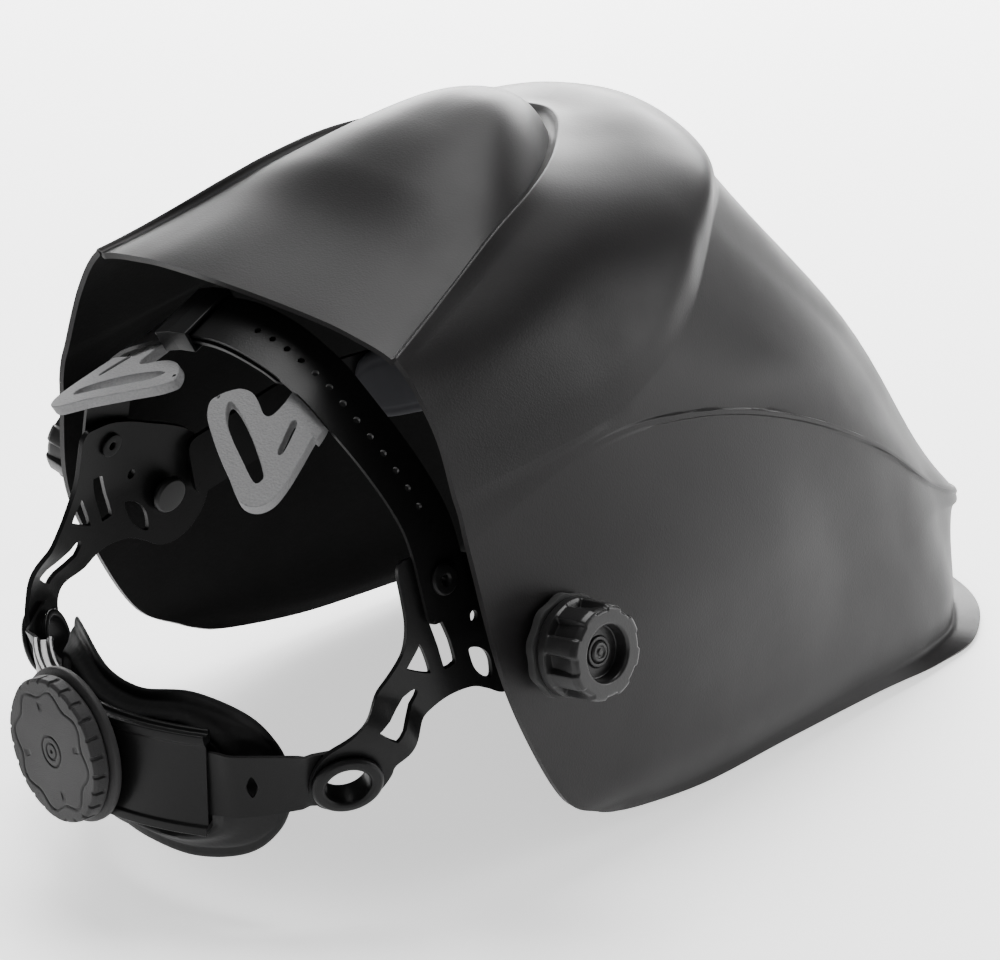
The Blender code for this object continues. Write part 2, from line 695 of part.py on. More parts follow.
def build_rear_strap(hand, name, black):
    """Strap from the ring into the housing, kept just inside the side plate."""
    spot, out = plate_spot(ring_spot, hand)
    places = []
    wides = []
    for flat in strap_start:
        skin, normal = plate_spot(flat, hand)
        above = plate_spot((flat[0], flat[1] + 2), hand)[0]
        places.append(skin - normal * (band_thickness + strap_thickness / 2 + 2.5 * clearance))
        wides.append((above - skin) / np.linalg.norm(above - skin))
    end = rear_arc(hand)
    run = end - rear_arc(hand * 0.96)
    run /= np.linalg.norm(run)
    places += [end + run * 0.012, end + run * 0.004]
    places += [rear_arc(hand * a) for a in (0.85, 0.6, 0.36)]
    wides += [tuple(v) for v in upright(np.array([9, 5, 3, 3, 3]))]
    strap = ribbon("rear_strap_" + name, places, np.array(wides), strap_width / 2, strap_thickness, black)
    hole = lathe("cutter", [(0, -0.01), (0.0073, -0.01), (0.0073, 0.01), (0, 0.01)], spot, out, black, 24)
    cut(strap, hole)


def rear_normal(a):
    """Direction straight out of the housing's bent middle line."""
    mid, out, side = rear_frame()
    normal = out + side * (2 * rear_bow * a / rear_reach)
    return normal / np.linalg.norm(normal)


def build_rear(black, dark):
    """Curved housing tube, ratchet skirt and ratchet knob."""
    mid, out, side = rear_frame()
    depth = housing_depth
    up = np.array([0, 0, 1.0])
    tall = housing_height / 2
    wall = 0.002
    stations = np.linspace(-1, 1, 13)
    verts = []
    for a in stations:
        normal = rear_normal(a)
        centre = rear_arc(a)
        for h, d in ((tall, depth / 2), (tall - 2 * wall, depth / 2 - wall * 0.8)):
            for s, t in ((-1, -1), (1, -1), (1, 1), (-1, 1)):
                verts.append(centre + up * s * h + normal * t * d)
    faces = []
    for k in range(len(stations) - 1):
        for ring in (0, 4):
            for j in range(4):
                m = (j + 1) % 4
                a, b = k * 8 + ring + j, k * 8 + ring + m
                faces.append((a, b, b + 8, a + 8))
    for k in (0, len(stations) - 1):
        for j in range(4):
            m = (j + 1) % 4
            faces.append((k * 8 + j, k * 8 + m, k * 8 + 4 + m, k * 8 + 4 + j))
    solid("ratchet_housing", verts, faces, black)
    seat = depth / 2 + clearance
    step = skirt_thickness
    radius = ratchet_diameter / 2
    hub = mid + up * housing_height * 0.075
    lathe("ratchet_skirt",
          [(0, seat), (radius * 1.07, seat), (radius * 1.07, seat + step * 0.7),
           (radius * 0.9, seat + step), (0, seat + step)],
          hub, out, dark, 40)
    def notches(turn, i):
        if i < 1 or i > 3:
            return 1.0
        return 1.0 - 0.04 * max(0.0, cos(8 * turn)) ** 8
    base = seat + step + clearance
    face = base + ratchet_thickness
    lathe("ratchet_knob",
          [(0, base), (radius * 0.97, base), (radius, base + 0.001), (radius, face - 0.0013),
           (radius * 0.96, face), (radius * 0.3, face), (radius * 0.27, face - 0.001),
           (radius * 0.14, face - 0.001), (radius * 0.11, face + 0.0002), (0, face + 0.0002)],
          hub, out, dark, 40, notches)


def build_cushion(soft):
    """Rear neck cushion with two lobes and a seat at its back that meets the housing."""
    mid, out, side = rear_frame()
    reach = head_width * 67 / 188
    bow = head_width * 26 / 188
    stand = head_length * 8 / 210
    nose = housing_depth / 2 + clearance + stand + cushion_thickness / 2
    high = head_height / 200
    across = np.sin(np.linspace(-pi / 2, pi / 2, 23))
    up = np.sin(np.linspace(-pi / 2, pi / 2, 11))
    shares = [0, 0.18, 0.5, 0.78, 0.93, 1.0]
    verts = []
    for skin in (1, -1):
        for a in across:
            lobe = np.interp(abs(a), shares, [-19.5, -18.5, -13.5, -18, -29, -44])
            foot = np.interp(abs(a), shares, [-83, -84.5, -85.5, -79.5, -68, -50])
            for b in up:
                top = pivot[2] + (lobe - pivot_up) * high
                bottom = pivot[2] + (foot - pivot_up) * high
                z = (top + bottom) / 2 + b * (top - bottom) / 2
                swell = (1 - abs(b) ** 3) ** 0.5 * (1 - a ** 8) ** 0.5
                depth = skin * swell * cushion_thickness / 2
                if skin > 0:
                    depth += stand * max(0, 1 - (a / 0.55) ** 2) ** 0.5 * max(0, 1 - (b / 0.62) ** 4) ** 0.5
                p = mid + side * reach * a - out * (nose + bow * a * a - depth)
                verts.append((p[0], p[1], z))
    faces = []
    n, m = len(across), len(up)
    for base in (0, n * m):
        for i in range(n - 1):
            for j in range(m - 1):
                k = base + i * m + j
                faces.append((k, k + 1, k + m + 1, k + m))
    solid("rear_cushion", verts, faces, soft)


def build_crown(black, grey):
    """Two lapped crown straps, their keeper and the pair of crown pads."""
    half = crown_width / 2
    right = [(-x, y, z, lean) for x, y, z, lean in crown_line]
    over = [(x, y, z, lean) for x, y, z, lean in crown_line[::-1][1:3]]
    over[1] = (29.5, 134.6, 97.8, 22.5)
    under = [(-x, y, z, lean) for x, y, z, lean in crown_line[::-1][1:3]]
    under[1] = (-32.5, 134.6, 96.6, 22)
    layer = strap_thickness + 3 * clearance
    outer = ribbon("crown_strap_right", *on_head(right + over, crosswise), half, strap_thickness,
                   black, steps=2)
    left = list(crown_line) + under
    inner = ribbon("crown_strap_left", *on_head(left, crosswise), half, strap_thickness,
                   black, steps=2)
    for obj, hand in ((outer, -1), (inner, 1)):
        mesh = obj.data
        co = np.array([v.co[:] for v in mesh.vertices])
        x = co[:, 0] * hand
        lap = np.clip((head_point((60, 0, 0))[0] - x) / (0.018 * head_width / 0.188), 0, 1)
        lap = lap * lap * (3 - 2 * lap)
        sign = 0.5 if hand < 0 else -0.5
        co[:, 2] += sign * layer * lap
        mesh.vertices.foreach_set("co", co.ravel())
        mesh.update()
        spot, out = plate_spot(rivet_spot, hand)
        cutter = lathe("cutter", [(0, -0.0015), (0.0029, -0.0015), (0.0029, 0.004), (0, 0.004)],
                       spot, out, black, 16)
        cut(obj, cutter)
    line = np.array([(15, 134.85, 101.3, 24), (24, 134.7, 99.7, 23.4), (32, 134.55, 97, 22.2)])
    pos = head_point(line)
    run = pos[-1] - pos[0]
    run /= np.linalg.norm(run)
    wide = crosswise(np.array([23.4]))[0]
    wide = wide - run * (wide @ run)
    wide /= np.linalg.norm(wide)
    out = np.cross(run, wide)
    if out[2] < 0:
        out = -out
    verts = []
    tall = layer / 2 + strap_thickness / 2 + 0.0011
    for p in pos[[0, 1, 2]]:
        for w, h in ((half + 0.0022, tall + 0.0015), (half + 0.0007, tall)):
            for s, t in ((-1, -1), (1, -1), (1, 1), (-1, 1)):
                verts.append(p + wide * s * w + out * t * h)
    faces = []
    for k in range(2):
        for ring in (0, 4):
            for j in range(4):
                m = (j + 1) % 4
                a, b = k * 8 + ring + j, k * 8 + ring + m
                faces.append((a, b, b + 8, a + 8))
    for k in (0, 2):
        for j in range(4):
            m = (j + 1) % 4
            faces.append((k * 8 + j, k * 8 + m, k * 8 + 4 + m, k * 8 + 4 + j))
    solid("crown_keeper", verts, faces, black)
    def pad_place(hand):
        below = 1.2 if hand < 0 else 3.4
        def place(flat, side):
            x, y = flat[:, 0], flat[:, 1]
            tip = np.clip(150 - y, 0, 1)
            z = 88.8 - 0.2265 * (x - 11) - 0.566 * (y - 155) - 0.0035 * (x - 34) ** 2
            strap = np.interp(x, [20, 38, 51, 62.5], [100.5, 94, 86.5, 77.5]) + (134 - y) * 0.34
            z = np.where(tip > 0, np.minimum(z, strap - below), z)
            p = head_point(np.column_stack([x, y, z]))
            n = np.array([0.20, 0.48, 0.855])
            p = p - n * pad_thickness * side
            return p * np.array([hand, 1, 1])
        return place
    sheet_body("crown_pad_right", crown_pad, crown_pad_slots, pad_place(-1), grey, 9.0)
    sheet_body("crown_pad_left", crown_pad, crown_pad_slots, pad_place(1), grey, 9.0)


def build_front(black, soft):
    """Front band from side to side and the forehead pad inside it."""
    line = list(front_line) + [(-x, y, z, lean) for x, y, z, lean in front_line[-2::-1]]
    ribbon("front_band", *on_head(line, upright), band_width / 2, band_thickness, black, steps=2)
    pad = list(front_line[4:]) + [(-x, y, z, lean) for x, y, z, lean in front_line[-2:3:-1]]
    offset = -(band_thickness / 2 + cushion_thickness * 0.35 + clearance)
    ribbon("forehead_pad", *on_head(pad, upright), band_width * 0.62, cushion_thickness * 0.7,
           soft, offset, steps=2)


def centre_on_floor():
    """Shift everything so the whole stands on the floor about the middle."""
    low = np.full(3, 1e9)
    high = np.full(3, -1e9)
    for obj in bpy.data.objects:
        co = np.array([v.co[:] for v in obj.data.vertices])
        low = np.minimum(low, co.min(0))
        high = np.maximum(high, co.max(0))
    move = np.array([-(low[0] + high[0]) / 2, -(low[1] + high[1]) / 2, -low[2]])
    for obj in bpy.data.objects:
        co = np.array([v.co[:] for v in obj.data.vertices]) + move
        obj.data.vertices.foreach_set("co", co.ravel())
        obj.data.update()
    print("moved by", [round(float(v), 5) for v in move])


def main():
    """Build every piece."""
    clear_scene()
    shell_black = material("shell_black", (0.045, 0.043, 0.044), 0.45)
    frame_black = material("frame_black", (0.02, 0.02, 0.02), 0.5)
    lens_dark = material("lens_dark", (0.02, 0.05, 0.03), 0.08)
    gear_black = material("gear_black", (0.015, 0.015, 0.015), 0.5)
    knob_grey = material("knob_grey", (0.045, 0.045, 0.047), 0.5)
    rubber = material("rubber", (0.008, 0.008, 0.008), 0.7)
    steel = material("steel", (0.05, 0.05, 0.05), 0.4, 0.6)
    foam = material("foam", (0.02, 0.02, 0.022), 0.8)
    pad_grey = material("pad_grey", (0.18, 0.18, 0.18), 0.8)
    shell, inner = build_shell(shell_black)
    build_window(inner, frame_black, lens_dark)
    for hand, name in ((-1, "right"), (1, "left")):
        build_pivot(hand, name, gear_black, rubber, steel)
        build_side(hand, name, gear_black, steel)
        build_rear_strap(hand, name, gear_black)
    build_front(gear_black, foam)
    build_crown(gear_black, pad_grey)
    build_rear(gear_black, knob_grey)
    build_cushion(foam)
    centre_on_floor()


main()
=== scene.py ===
"""Looks of the welding helmet, built on its fixed frame.

A hollow shell with a window tilts on two side knobs over a headgear of side plates,
straps, a ratchet at the back and soft pads. Tables are in millimetres from the datum
inside the shell. Left is +X, the face looks to -Y, up is +Z.
"""
import json
from math import cos, pi, radians, sin

import bmesh
import bpy
import numpy as np
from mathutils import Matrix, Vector
from mathutils.geometry import delaunay_2d_cdt

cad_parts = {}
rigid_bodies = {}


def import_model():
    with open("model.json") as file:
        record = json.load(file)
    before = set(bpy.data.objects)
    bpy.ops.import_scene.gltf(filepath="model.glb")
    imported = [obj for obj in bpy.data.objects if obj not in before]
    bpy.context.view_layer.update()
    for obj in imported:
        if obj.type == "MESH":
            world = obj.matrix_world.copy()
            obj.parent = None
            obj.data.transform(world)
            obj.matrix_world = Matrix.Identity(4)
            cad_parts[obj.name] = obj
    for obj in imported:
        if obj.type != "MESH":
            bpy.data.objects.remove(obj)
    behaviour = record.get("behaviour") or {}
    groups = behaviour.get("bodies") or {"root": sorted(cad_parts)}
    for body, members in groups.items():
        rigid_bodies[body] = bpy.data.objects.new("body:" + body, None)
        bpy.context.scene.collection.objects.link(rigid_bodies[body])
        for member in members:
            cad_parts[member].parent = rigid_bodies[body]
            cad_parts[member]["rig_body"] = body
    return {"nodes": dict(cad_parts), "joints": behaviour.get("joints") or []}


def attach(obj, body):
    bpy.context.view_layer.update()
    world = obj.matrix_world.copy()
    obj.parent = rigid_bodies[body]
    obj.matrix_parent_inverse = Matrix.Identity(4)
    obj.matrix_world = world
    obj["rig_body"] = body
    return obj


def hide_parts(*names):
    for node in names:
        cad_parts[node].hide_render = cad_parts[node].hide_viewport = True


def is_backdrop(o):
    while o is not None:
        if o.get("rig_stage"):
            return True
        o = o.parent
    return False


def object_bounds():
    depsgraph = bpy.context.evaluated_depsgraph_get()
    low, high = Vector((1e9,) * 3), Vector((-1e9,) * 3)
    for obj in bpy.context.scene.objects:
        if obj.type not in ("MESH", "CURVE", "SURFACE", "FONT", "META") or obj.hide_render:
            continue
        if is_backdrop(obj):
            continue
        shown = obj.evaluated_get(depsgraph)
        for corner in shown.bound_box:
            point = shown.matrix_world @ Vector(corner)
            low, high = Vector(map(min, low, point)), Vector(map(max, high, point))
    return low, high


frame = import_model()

bl_info = {
    "name": "Welding Helmet",
    "version": (1, 0, 0),
    "blender": (4, 5, 0),
    "location": "3D View > Sidebar > Helmet",
    "description": "Builds the welding helmet on its frame, with a stage to show it",
    "category": "Add Mesh",
}

box_low, box_high = (np.array(corner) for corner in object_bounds())
tilt = next(j for j in frame["joints"] if j["name"] == "shell_tilt")
mm = 0.001
pivot_spot = np.array([0.0, 94.0, -2.5])
datum = np.array(tilt["pos_m"]) - pivot_spot * mm
slack = 0.0003
knob_lean = radians(10.0)
plate_half = 94.3
mirror = np.array([-1, 1, 1])

# shell sections from the bottom lip up to the roof crease, rear end to front centre
sections = {
    "lip": [(112.5, 53, -86), (111.5, 4, -92), (108.5, -51, -94), (106, -108, -96),
            (103.5, -154, -99), (96, -188, -99.5), (66, -218, -98.5), (0, -232, -97.5)],
    "root": [(114.8, 65, -80), (111.5, 6, -87.5), (107.5, -51, -89.5), (103.5, -108, -91),
             (98.5, -151, -94), (88, -181, -95), (58, -207, -94.5), (0, -220, -94)],
    "low": [(119, 88, -65), (117, 12, -66), (112, -49, -67), (106, -104, -71),
            (99, -150, -76), (87.5, -180, -77), (58.5, -207, -77), (0, -220.5, -77)],
    "chin": [(119.2, 109, -31), (119.5, 25, -24), (114.5, -35, -21), (107.5, -80, -26),
             (101, -124, -36), (89, -166, -45), (59, -211, -59), (0, -225, -62)],
    "knob": [(118.1, 123, 3), (118.5, 42, 12), (113.5, -18, 16), (106.5, -68, 8),
             (99.5, -120, -14), (87, -168, -38), (60, -214, -56), (0, -229, -60)],
    "jaw": [(109.5, 130, 50), (108.5, 62, 66.5), (106, 5, 60.5), (102, -55, 40),
            (95, -115, 8), (84.5, -166, -28), (59, -214, -53), (0, -229, -58)],
    "window_low": [(108.6, 130.3, 54), (108, 61.5, 68.5), (105.2, 7, 65), (100, -48, 50),
                   (92, -103, 26), (79, -150, -2), (51, -197, -29), (0, -209, -33)],
    "window_high": [(107, 130.5, 60), (107.5, 60, 70.5), (104, 9, 71), (97, -42, 64),
                    (87.5, -82, 54), (72, -117.5, 46.5), (48.5, -147, 42), (0, -159, 41)],
    "brow": [(104.5, 130.7, 66), (106.5, 59, 73), (103.5, 25, 83), (96, 1, 92.5),
             (86, -18, 102), (67, -46, 112), (40, -80, 113), (0, -106, 107)],
    "dome_low": [(98, 131, 84), (101, 65, 91), (97, 28, 102), (88, 0, 113),
                 (77, -23, 121), (60, -51, 128), (36, -72, 131), (0, -88, 130)],
    "dome_high": [(90, 132.5, 100), (88, 78, 113), (81, 42, 124), (71.5, 12, 131.5),
                  (60, -13, 137), (45, -33, 142), (26, -50, 146), (0, -59, 147)],
    "crease": [(80, 134, 115), (67.6, 93, 126.5), (60, 65, 136), (52.4, 39, 142.5),
               (41, 16, 145.5), (26.5, -4, 147), (13, -18, 148), (0, -24, 148)],
    "roof_rim": [(77, 134, 113.4), (65, 93, 124.7), (57.2, 66, 134), (49.6, 41, 140.4),
                 (38.4, 18.6, 143.3), (24.4, -0.6, 144.6), (12, -12.4, 145.4), (0, -17, 145.6)],
}
# how far the roof swells above its rim, from the rear end to the tip
roof_swell = [4, 8, 12.5, 17, 20, 16, 6.5, 0]
# the smooth bands between creases, their steps, and how far each crease is rounded
bands = [(("lip", "root"), 4), (("root", "low", "chin", "knob", "jaw"), 9),
         (("jaw", "window_low", "window_high", "brow"), 7),
         (("brow", "dome_low", "dome_high", "crease"), 8), (("crease", "roof_rim"), 3)]
crease_reach = [3.0, 0, 1.2, 0.6]
# close rows beside the jaw line, and the heights of its bead and of the roof crease
bead_rows = [2.6, 1.9, 1.2, 0.5]
bead_height = 0.9
crease_height = 0.5
span_steps = 14

# side plate in the side view, along and up, from the top tab round the rear
plate_outline = [(135, 38.5), (139, 38), (141.2, 34.5), (141.2, 26), (141.3, 17), (143, 10),
                 (146, 4), (151, -2), (157.5, -8.5), (164, -15.5), (169.5, -21.5), (174.5, -26.5),
                 (176.6, -33), (176.8, -40), (174.8, -46.6), (170.4, -51.6), (164.5, -53.5),
                 (158, -51.5), (153.5, -46.5), (151.5, -40), (151, -35), (146.5, -30),
                 (141, -24.5), (133, -19.2), (124, -16.5), (113, -17), (105, -20.5),
                 (97, -25), (88, -25.5), (79, -21.5), (72.5, -14), (70, -4), (71, 6), (76, 15),
                 (84, 22), (94, 27), (104, 31), (114, 35), (125, 38)]
plate_slots = [
    [(131.8, 13.5), (130.5, 15.2), (127.8, 15), (126.2, 13), (121.3, -2.5), (122.2, -4.6),
     (125.2, -5.2), (127, -3.8)],
    [(137, 7.2), (138.4, 6.4), (142.8, 0.6), (142.2, -0.8), (134.4, -4.4), (133.2, -3.4)],
    [(141.8, -9.2), (139.4, -12), (151, -23), (153.4, -24), (158.2, -20.2), (157.6, -18)],
    [(114.2, -1.2), (113.6, -5), (111.6, -9.8), (108.4, -13.6), (104, -16.6), (102.4, -15.6),
     (103, -10), (105.4, -5.6), (109.6, -2.4)],
    [(112.6, 9.2), (112.6, 11.2), (111.2, 12.4), (109.6, 11.8), (109, 10.2), (109.8, 8.6),
     (111.4, 8.2)],
]
rivet_spot = (125.0, 28.5)
ring_spot = (165.4, -39.7)
strap_start = [(156.5, -38.6), (161, -39.3), (165.4, -39.7), (171, -40.2), (175.6, -40.7),
               (179.4, -41.2)]

# the housing sits a little to the left and turned
rear_spot = (6.5, 211, -41)
rear_yaw = radians(6.0)
rear_out = np.array([sin(rear_yaw), cos(rear_yaw), 0.0])
rear_side = np.array([cos(rear_yaw), -sin(rear_yaw), 0.0])
rear_reach = 51.0
rear_bow = 17.5
housing_deep = 3.75

# strap middle lines with the lean of their width in degrees
crown_line = [(94.2, 123.5, 15, 0), (92.7, 124, 21, 0), (90.6, 124.6, 29.5, 0),
              (88.4, 125.2, 38.5, 0), (84.9, 126.4, 49, 2), (79.8, 128, 58, 5),
              (72.5, 130, 67.5, 9), (62.5, 132, 77.5, 13), (51, 133.6, 86.5, 17),
              (38, 134.4, 94, 21), (20, 134.8, 100.5, 24), (0, 135, 103, 24)]
crown_over = [(20, 134.8, 100.5, 24), (29.5, 134.6, 97.8, 22.5)]
crown_under = [(-20, 134.8, 100.5, 24), (-32.5, 134.6, 96.6, 22)]
front_line = [(88, 83.5, 4.5, 0), (87.9, 72, 6.5, 0), (87.5, 56, 10, 0), (83.5, 32, 17, 2),
              (72, 8, 23, 4), (52, -13, 29, 6), (27, -25.5, 33, 8), (0, -30, 34, 8)]

# crown pad seen from above: across, along
crown_pad = [(10, 160), (11, 156.5), (13.5, 153.5), (17, 151), (22, 150.4), (27, 152),
             (32, 154.4), (35, 153.4), (35.6, 148), (35, 142), (36.5, 138.6), (41, 137),
             (46, 137.6), (50.5, 141), (52.4, 146), (53.6, 152), (55.6, 160), (57.2, 168),
             (57.4, 175), (54.6, 180), (49.6, 182), (44, 180.4), (38, 177.6), (30, 174.2),
             (22, 170), (14, 165)]
crown_pad_slots = [
    [(17, 157.6), (19.6, 157), (28, 160), (38, 164.6), (48, 170), (49.4, 172.4), (47.4, 174.2),
     (38, 170.8), (29, 167), (21, 162.6)],
    [(43, 151), (45, 150.4), (47, 155), (48.6, 161), (47, 162), (45, 157)],
]
sides = ((-1, "right"), (1, "left"))


# ---------------------------------------------------------------- shaping helpers

def at(points):
    """Table points in metres in the frame."""
    return np.asarray(points, float) * mm + datum


def unit(v):
    """Directions of length one."""
    return v / np.linalg.norm(v, axis=-1, keepdims=True)


def cubic(a, b, c, d, t):
    """Smooth cubic from b to c at the share t, with the slopes its neighbours a and d give."""
    return 0.5 * (2 * b + (c - a) * t + (2 * a - 5 * b + 4 * c - d) * t ** 2
                  + (3 * b - a - 3 * c + d) * t ** 3)


def curve(points, steps, end=None):
    """Smooth curve through points or whole rows of points, in even steps."""
    points = np.asarray(points, float)
    last = 2 * points[-1:] - points[-2:-1] if end is None else end
    q = np.concatenate([2 * points[:1] - points[1:2], points, last])
    n = len(points) - 1
    t = (np.arange(steps) / steps).reshape((steps,) + (1,) * (points.ndim - 1))
    body = cubic(q[:n, None], q[1:n + 1, None], q[2:n + 2, None], q[3:n + 3, None], t)
    return np.concatenate([body.reshape(-1, *points.shape[1:]), points[-1:]])


def closed_curve(points, steps):
    """Smooth closed loop through the points."""
    p = np.asarray(points, float)
    t = (np.arange(steps) / steps)[None, :, None]
    a, c, d = (np.roll(p, k, 0)[:, None] for k in (1, -1, -2))
    return cubic(a, p[:, None], c, d, t).reshape(-1, p.shape[1])


def soft_corners(points, reach, closed=False, steps=4):
    """Line or loop whose corners are rounded over the reach: a parabola at each corner."""
    p = np.asarray(points, float)

    def near(v):
        length = np.maximum(np.linalg.norm(v, axis=1, keepdims=True), 1e-9)
        return (p + v * np.minimum(reach / length, 0.45))[:, None]

    a, b = near(np.roll(p, 1, 0) - p), near(np.roll(p, -1, 0) - p)
    t = np.linspace(0, 1, steps)[None, :, None]
    out = (1 - t) ** 2 * a + 2 * t * (1 - t) * p[:, None] + t * t * b
    if closed:
        return out.reshape(-1, p.shape[1])
    return np.vstack([p[:1], out[1:-1].reshape(-1, p.shape[1]), p[-1:]])


def run_of(points):
    """Distance along a line of points."""
    return np.concatenate([[0], np.cumsum(np.linalg.norm(np.diff(points, axis=0), axis=1))])


def between(t, s, rows):
    """Rows given at the distances s, read off at the distances t."""
    return np.column_stack([np.interp(t, s, rows[:, k]) for k in range(rows.shape[1])])


def dense(points, step, closed=False):
    """The same line with extra points, none further apart than the step."""
    p = np.asarray(points, float)
    if closed:
        p = np.vstack([p, p[:1]])
    s = run_of(p)
    t = np.unique(np.round(np.concatenate([s, np.arange(0, s[-1], step)]), 7))
    out = between(t, s, p)
    return out[:-1] if closed else out


def crowded(count):
    """Shares from -1 to 1, closer together towards both ends: the sine of even steps."""
    return np.sin(np.linspace(-pi / 2, pi / 2, count))


def ease(x, low, high):
    """0 below low, 1 above high and a smooth step between."""
    t = np.clip((x - low) / (high - low), 0, 1)
    return t * t * (3 - 2 * t)


def inside(points, loop):
    """Which flat points lie inside a closed loop, by counting the sides crossed."""
    (ax, ay), (bx, by) = loop.T, np.roll(loop, -1, axis=0).T
    x, y = points[:, :1], points[:, 1:]
    rise = np.where(by == ay, 1e-12, by - ay)
    crossed = ((ay > y) != (by > y)) & (x < ax + (y - ay) * (bx - ax) / rise)
    return crossed.sum(1) % 2 == 1


def within(points, loops):
    """Which flat points lie inside the first loop and outside the others."""
    keep = inside(points, loops[0])
    for loop in loops[1:]:
        keep &= ~inside(points, loop)
    return keep


def body_from(name, verts, faces, closed=True, sharp=38):
    """Object from points and faces: equal points welded, faces outward, and smooth but
    for edges past the sharp angle."""
    mesh = bpy.data.meshes.new(name)
    mesh.from_pydata(verts, [], faces)
    bm = bmesh.new()
    bm.from_mesh(mesh)
    bmesh.ops.remove_doubles(bm, verts=bm.verts, dist=3e-6)
    bmesh.ops.dissolve_degenerate(bm, edges=bm.edges, dist=1e-7)
    bmesh.ops.recalc_face_normals(bm, faces=bm.faces)
    if closed and bm.calc_volume(signed=True) < 0:
        bmesh.ops.reverse_faces(bm, faces=bm.faces)
    bm.to_mesh(mesh)
    bm.free()
    mesh.shade_smooth()
    mesh.set_sharp_from_angle(angle=radians(sharp))
    obj = bpy.data.objects.new(name, mesh)
    bpy.context.scene.collection.objects.link(obj)
    return obj


def cells(n, m, wrap_rows=False, wrap_cols=False):
    """Corners of every cell of a grid of n rows and m columns, which may close."""
    i, j = (k.ravel() for k in np.meshgrid(np.arange(n - (not wrap_rows)),
                                           np.arange(m - (not wrap_cols)), indexing="ij"))
    k, l = (i + 1) % n, (j + 1) % m
    return np.column_stack([i * m + j, k * m + j, k * m + l, i * m + l])


def from_grids(name, grids, sharp=38):
    """Closed object from grids of points; each says whether its rows and columns close."""
    verts, quads, base = [], [], 0
    for points, wrap_rows, wrap_cols in grids:
        n, m = points.shape[:2]
        quads.append(base + cells(n, m, wrap_rows, wrap_cols))
        verts.append(points.reshape(-1, 3))
        base += n * m
    return body_from(name, np.vstack(verts), np.vstack(quads).tolist(), sharp=sharp)


def turned(name, profile, origin, axis, count=96, shape=None, ring=False):
    """Body turned about an axis. The profile is radius and height in millimetres;
    shape(turn, radius, height) gives both back changed, for flutes and grooves."""
    axis = unit(np.asarray(axis, float))
    u = unit(np.cross(axis, [0, 0, 1.0] if abs(axis[2]) < 0.9 else [1.0, 0, 0]))
    w = np.cross(axis, u)
    turn = np.linspace(0, 2 * pi, count, endpoint=False)[:, None]
    r, h = (profile[None, :, k] + 0 * turn for k in (0, 1))
    if shape:
        r, h = shape(turn, r, h)
    spin = np.cos(turn)[..., None] * u + np.sin(turn)[..., None] * w
    points = np.asarray(origin) + (axis * h[..., None] + spin * r[..., None]) * mm
    return from_grids(name, [(points, True, ring)])


def sheet(name, outline, holes, spacing, place):
    """Plate with holes: the flat outline is filled with triangles near the spacing and
    put in space twice, by place(flat, 0) and place(flat, 1), with walls along every rim."""
    loops = [np.asarray(outline, float)] + [np.asarray(h, float) for h in holes]
    low, high = loops[0].min(0), loops[0].max(0)
    gx, gy = np.meshgrid(np.arange(low[0] + spacing / 2, high[0], spacing),
                         np.arange(low[1] + spacing / 2, high[1], spacing))
    gx = gx + (np.arange(len(gx)) % 2)[:, None] * spacing / 2
    extra = np.column_stack([gx.ravel(), gy.ravel()])
    keep = within(extra, loops)
    for loop in loops:
        ab = np.roll(loop, -1, axis=0) - loop
        t = np.einsum("kij,ij->ki", extra[:, None] - loop, ab) / np.einsum("ij,ij->i", ab, ab)
        near = loop + np.clip(t, 0, 1)[..., None] * ab
        keep &= np.linalg.norm(extra[:, None] - near, axis=2).min(1) > spacing * 0.45
    starts = np.cumsum([0] + [len(loop) for loop in loops])
    edges = np.vstack([np.column_stack([np.arange(len(q)), (np.arange(len(q)) + 1) % len(q)]) + s
                       for q, s in zip(loops, starts)])
    flat = np.vstack(loops + [extra[keep]])
    made = delaunay_2d_cdt(flat, edges.tolist(), [], 0, 1e-6)
    pts, tris = np.array(made[0]), np.array(made[2])
    tris = tris[within(pts[tris].mean(1), loops)]
    ab = np.concatenate([tris[:, [0, 1]], tris[:, [1, 2]], tris[:, [2, 0]]])
    n = len(pts)
    rim = ab[~np.isin(ab[:, 0] * n + ab[:, 1], ab[:, 1] * n + ab[:, 0])]
    walls = np.column_stack([rim[:, 0], rim[:, 0] + n, rim[:, 1] + n, rim[:, 1]])
    faces = tris.tolist() + (tris[:, ::-1] + n).tolist() + walls.tolist()
    return body_from(name, np.vstack([place(pts, 0), place(pts, 1)]), faces)


def bevel(obj, width, segments=2, angle=40):
    """Round the sharp edges."""
    mod = obj.modifiers.new("round", "BEVEL")
    mod.width = width
    mod.segments = segments
    mod.limit_method = "ANGLE"
    mod.angle_limit = radians(angle)
    mod.harden_normals = True
    return obj


def clean_copy(node, name):
    """Copy of a frame node with its loose triangles welded and flat areas joined."""
    mesh = frame["nodes"][node].data.copy()
    bm = bmesh.new()
    bm.from_mesh(mesh)
    bmesh.ops.remove_doubles(bm, verts=bm.verts, dist=1e-6)
    bmesh.ops.dissolve_limit(bm, angle_limit=radians(1), verts=bm.verts, edges=bm.edges)
    bmesh.ops.recalc_face_normals(bm, faces=bm.faces)
    bm.to_mesh(mesh)
    bm.free()
    mesh.materials.clear()
    mesh.name = name
    obj = bpy.data.objects.new(name, mesh)
    bpy.context.scene.collection.objects.link(obj)
    return obj


def settle(obj, node, look="gear_plastic"):
    """Give the piece its material, its body and the frame node it stands for."""
    obj.data.materials.append(material(look))
    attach(obj, frame["nodes"][node]["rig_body"])
    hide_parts(node)
    return obj


# ---------------------------------------------------------------- materials

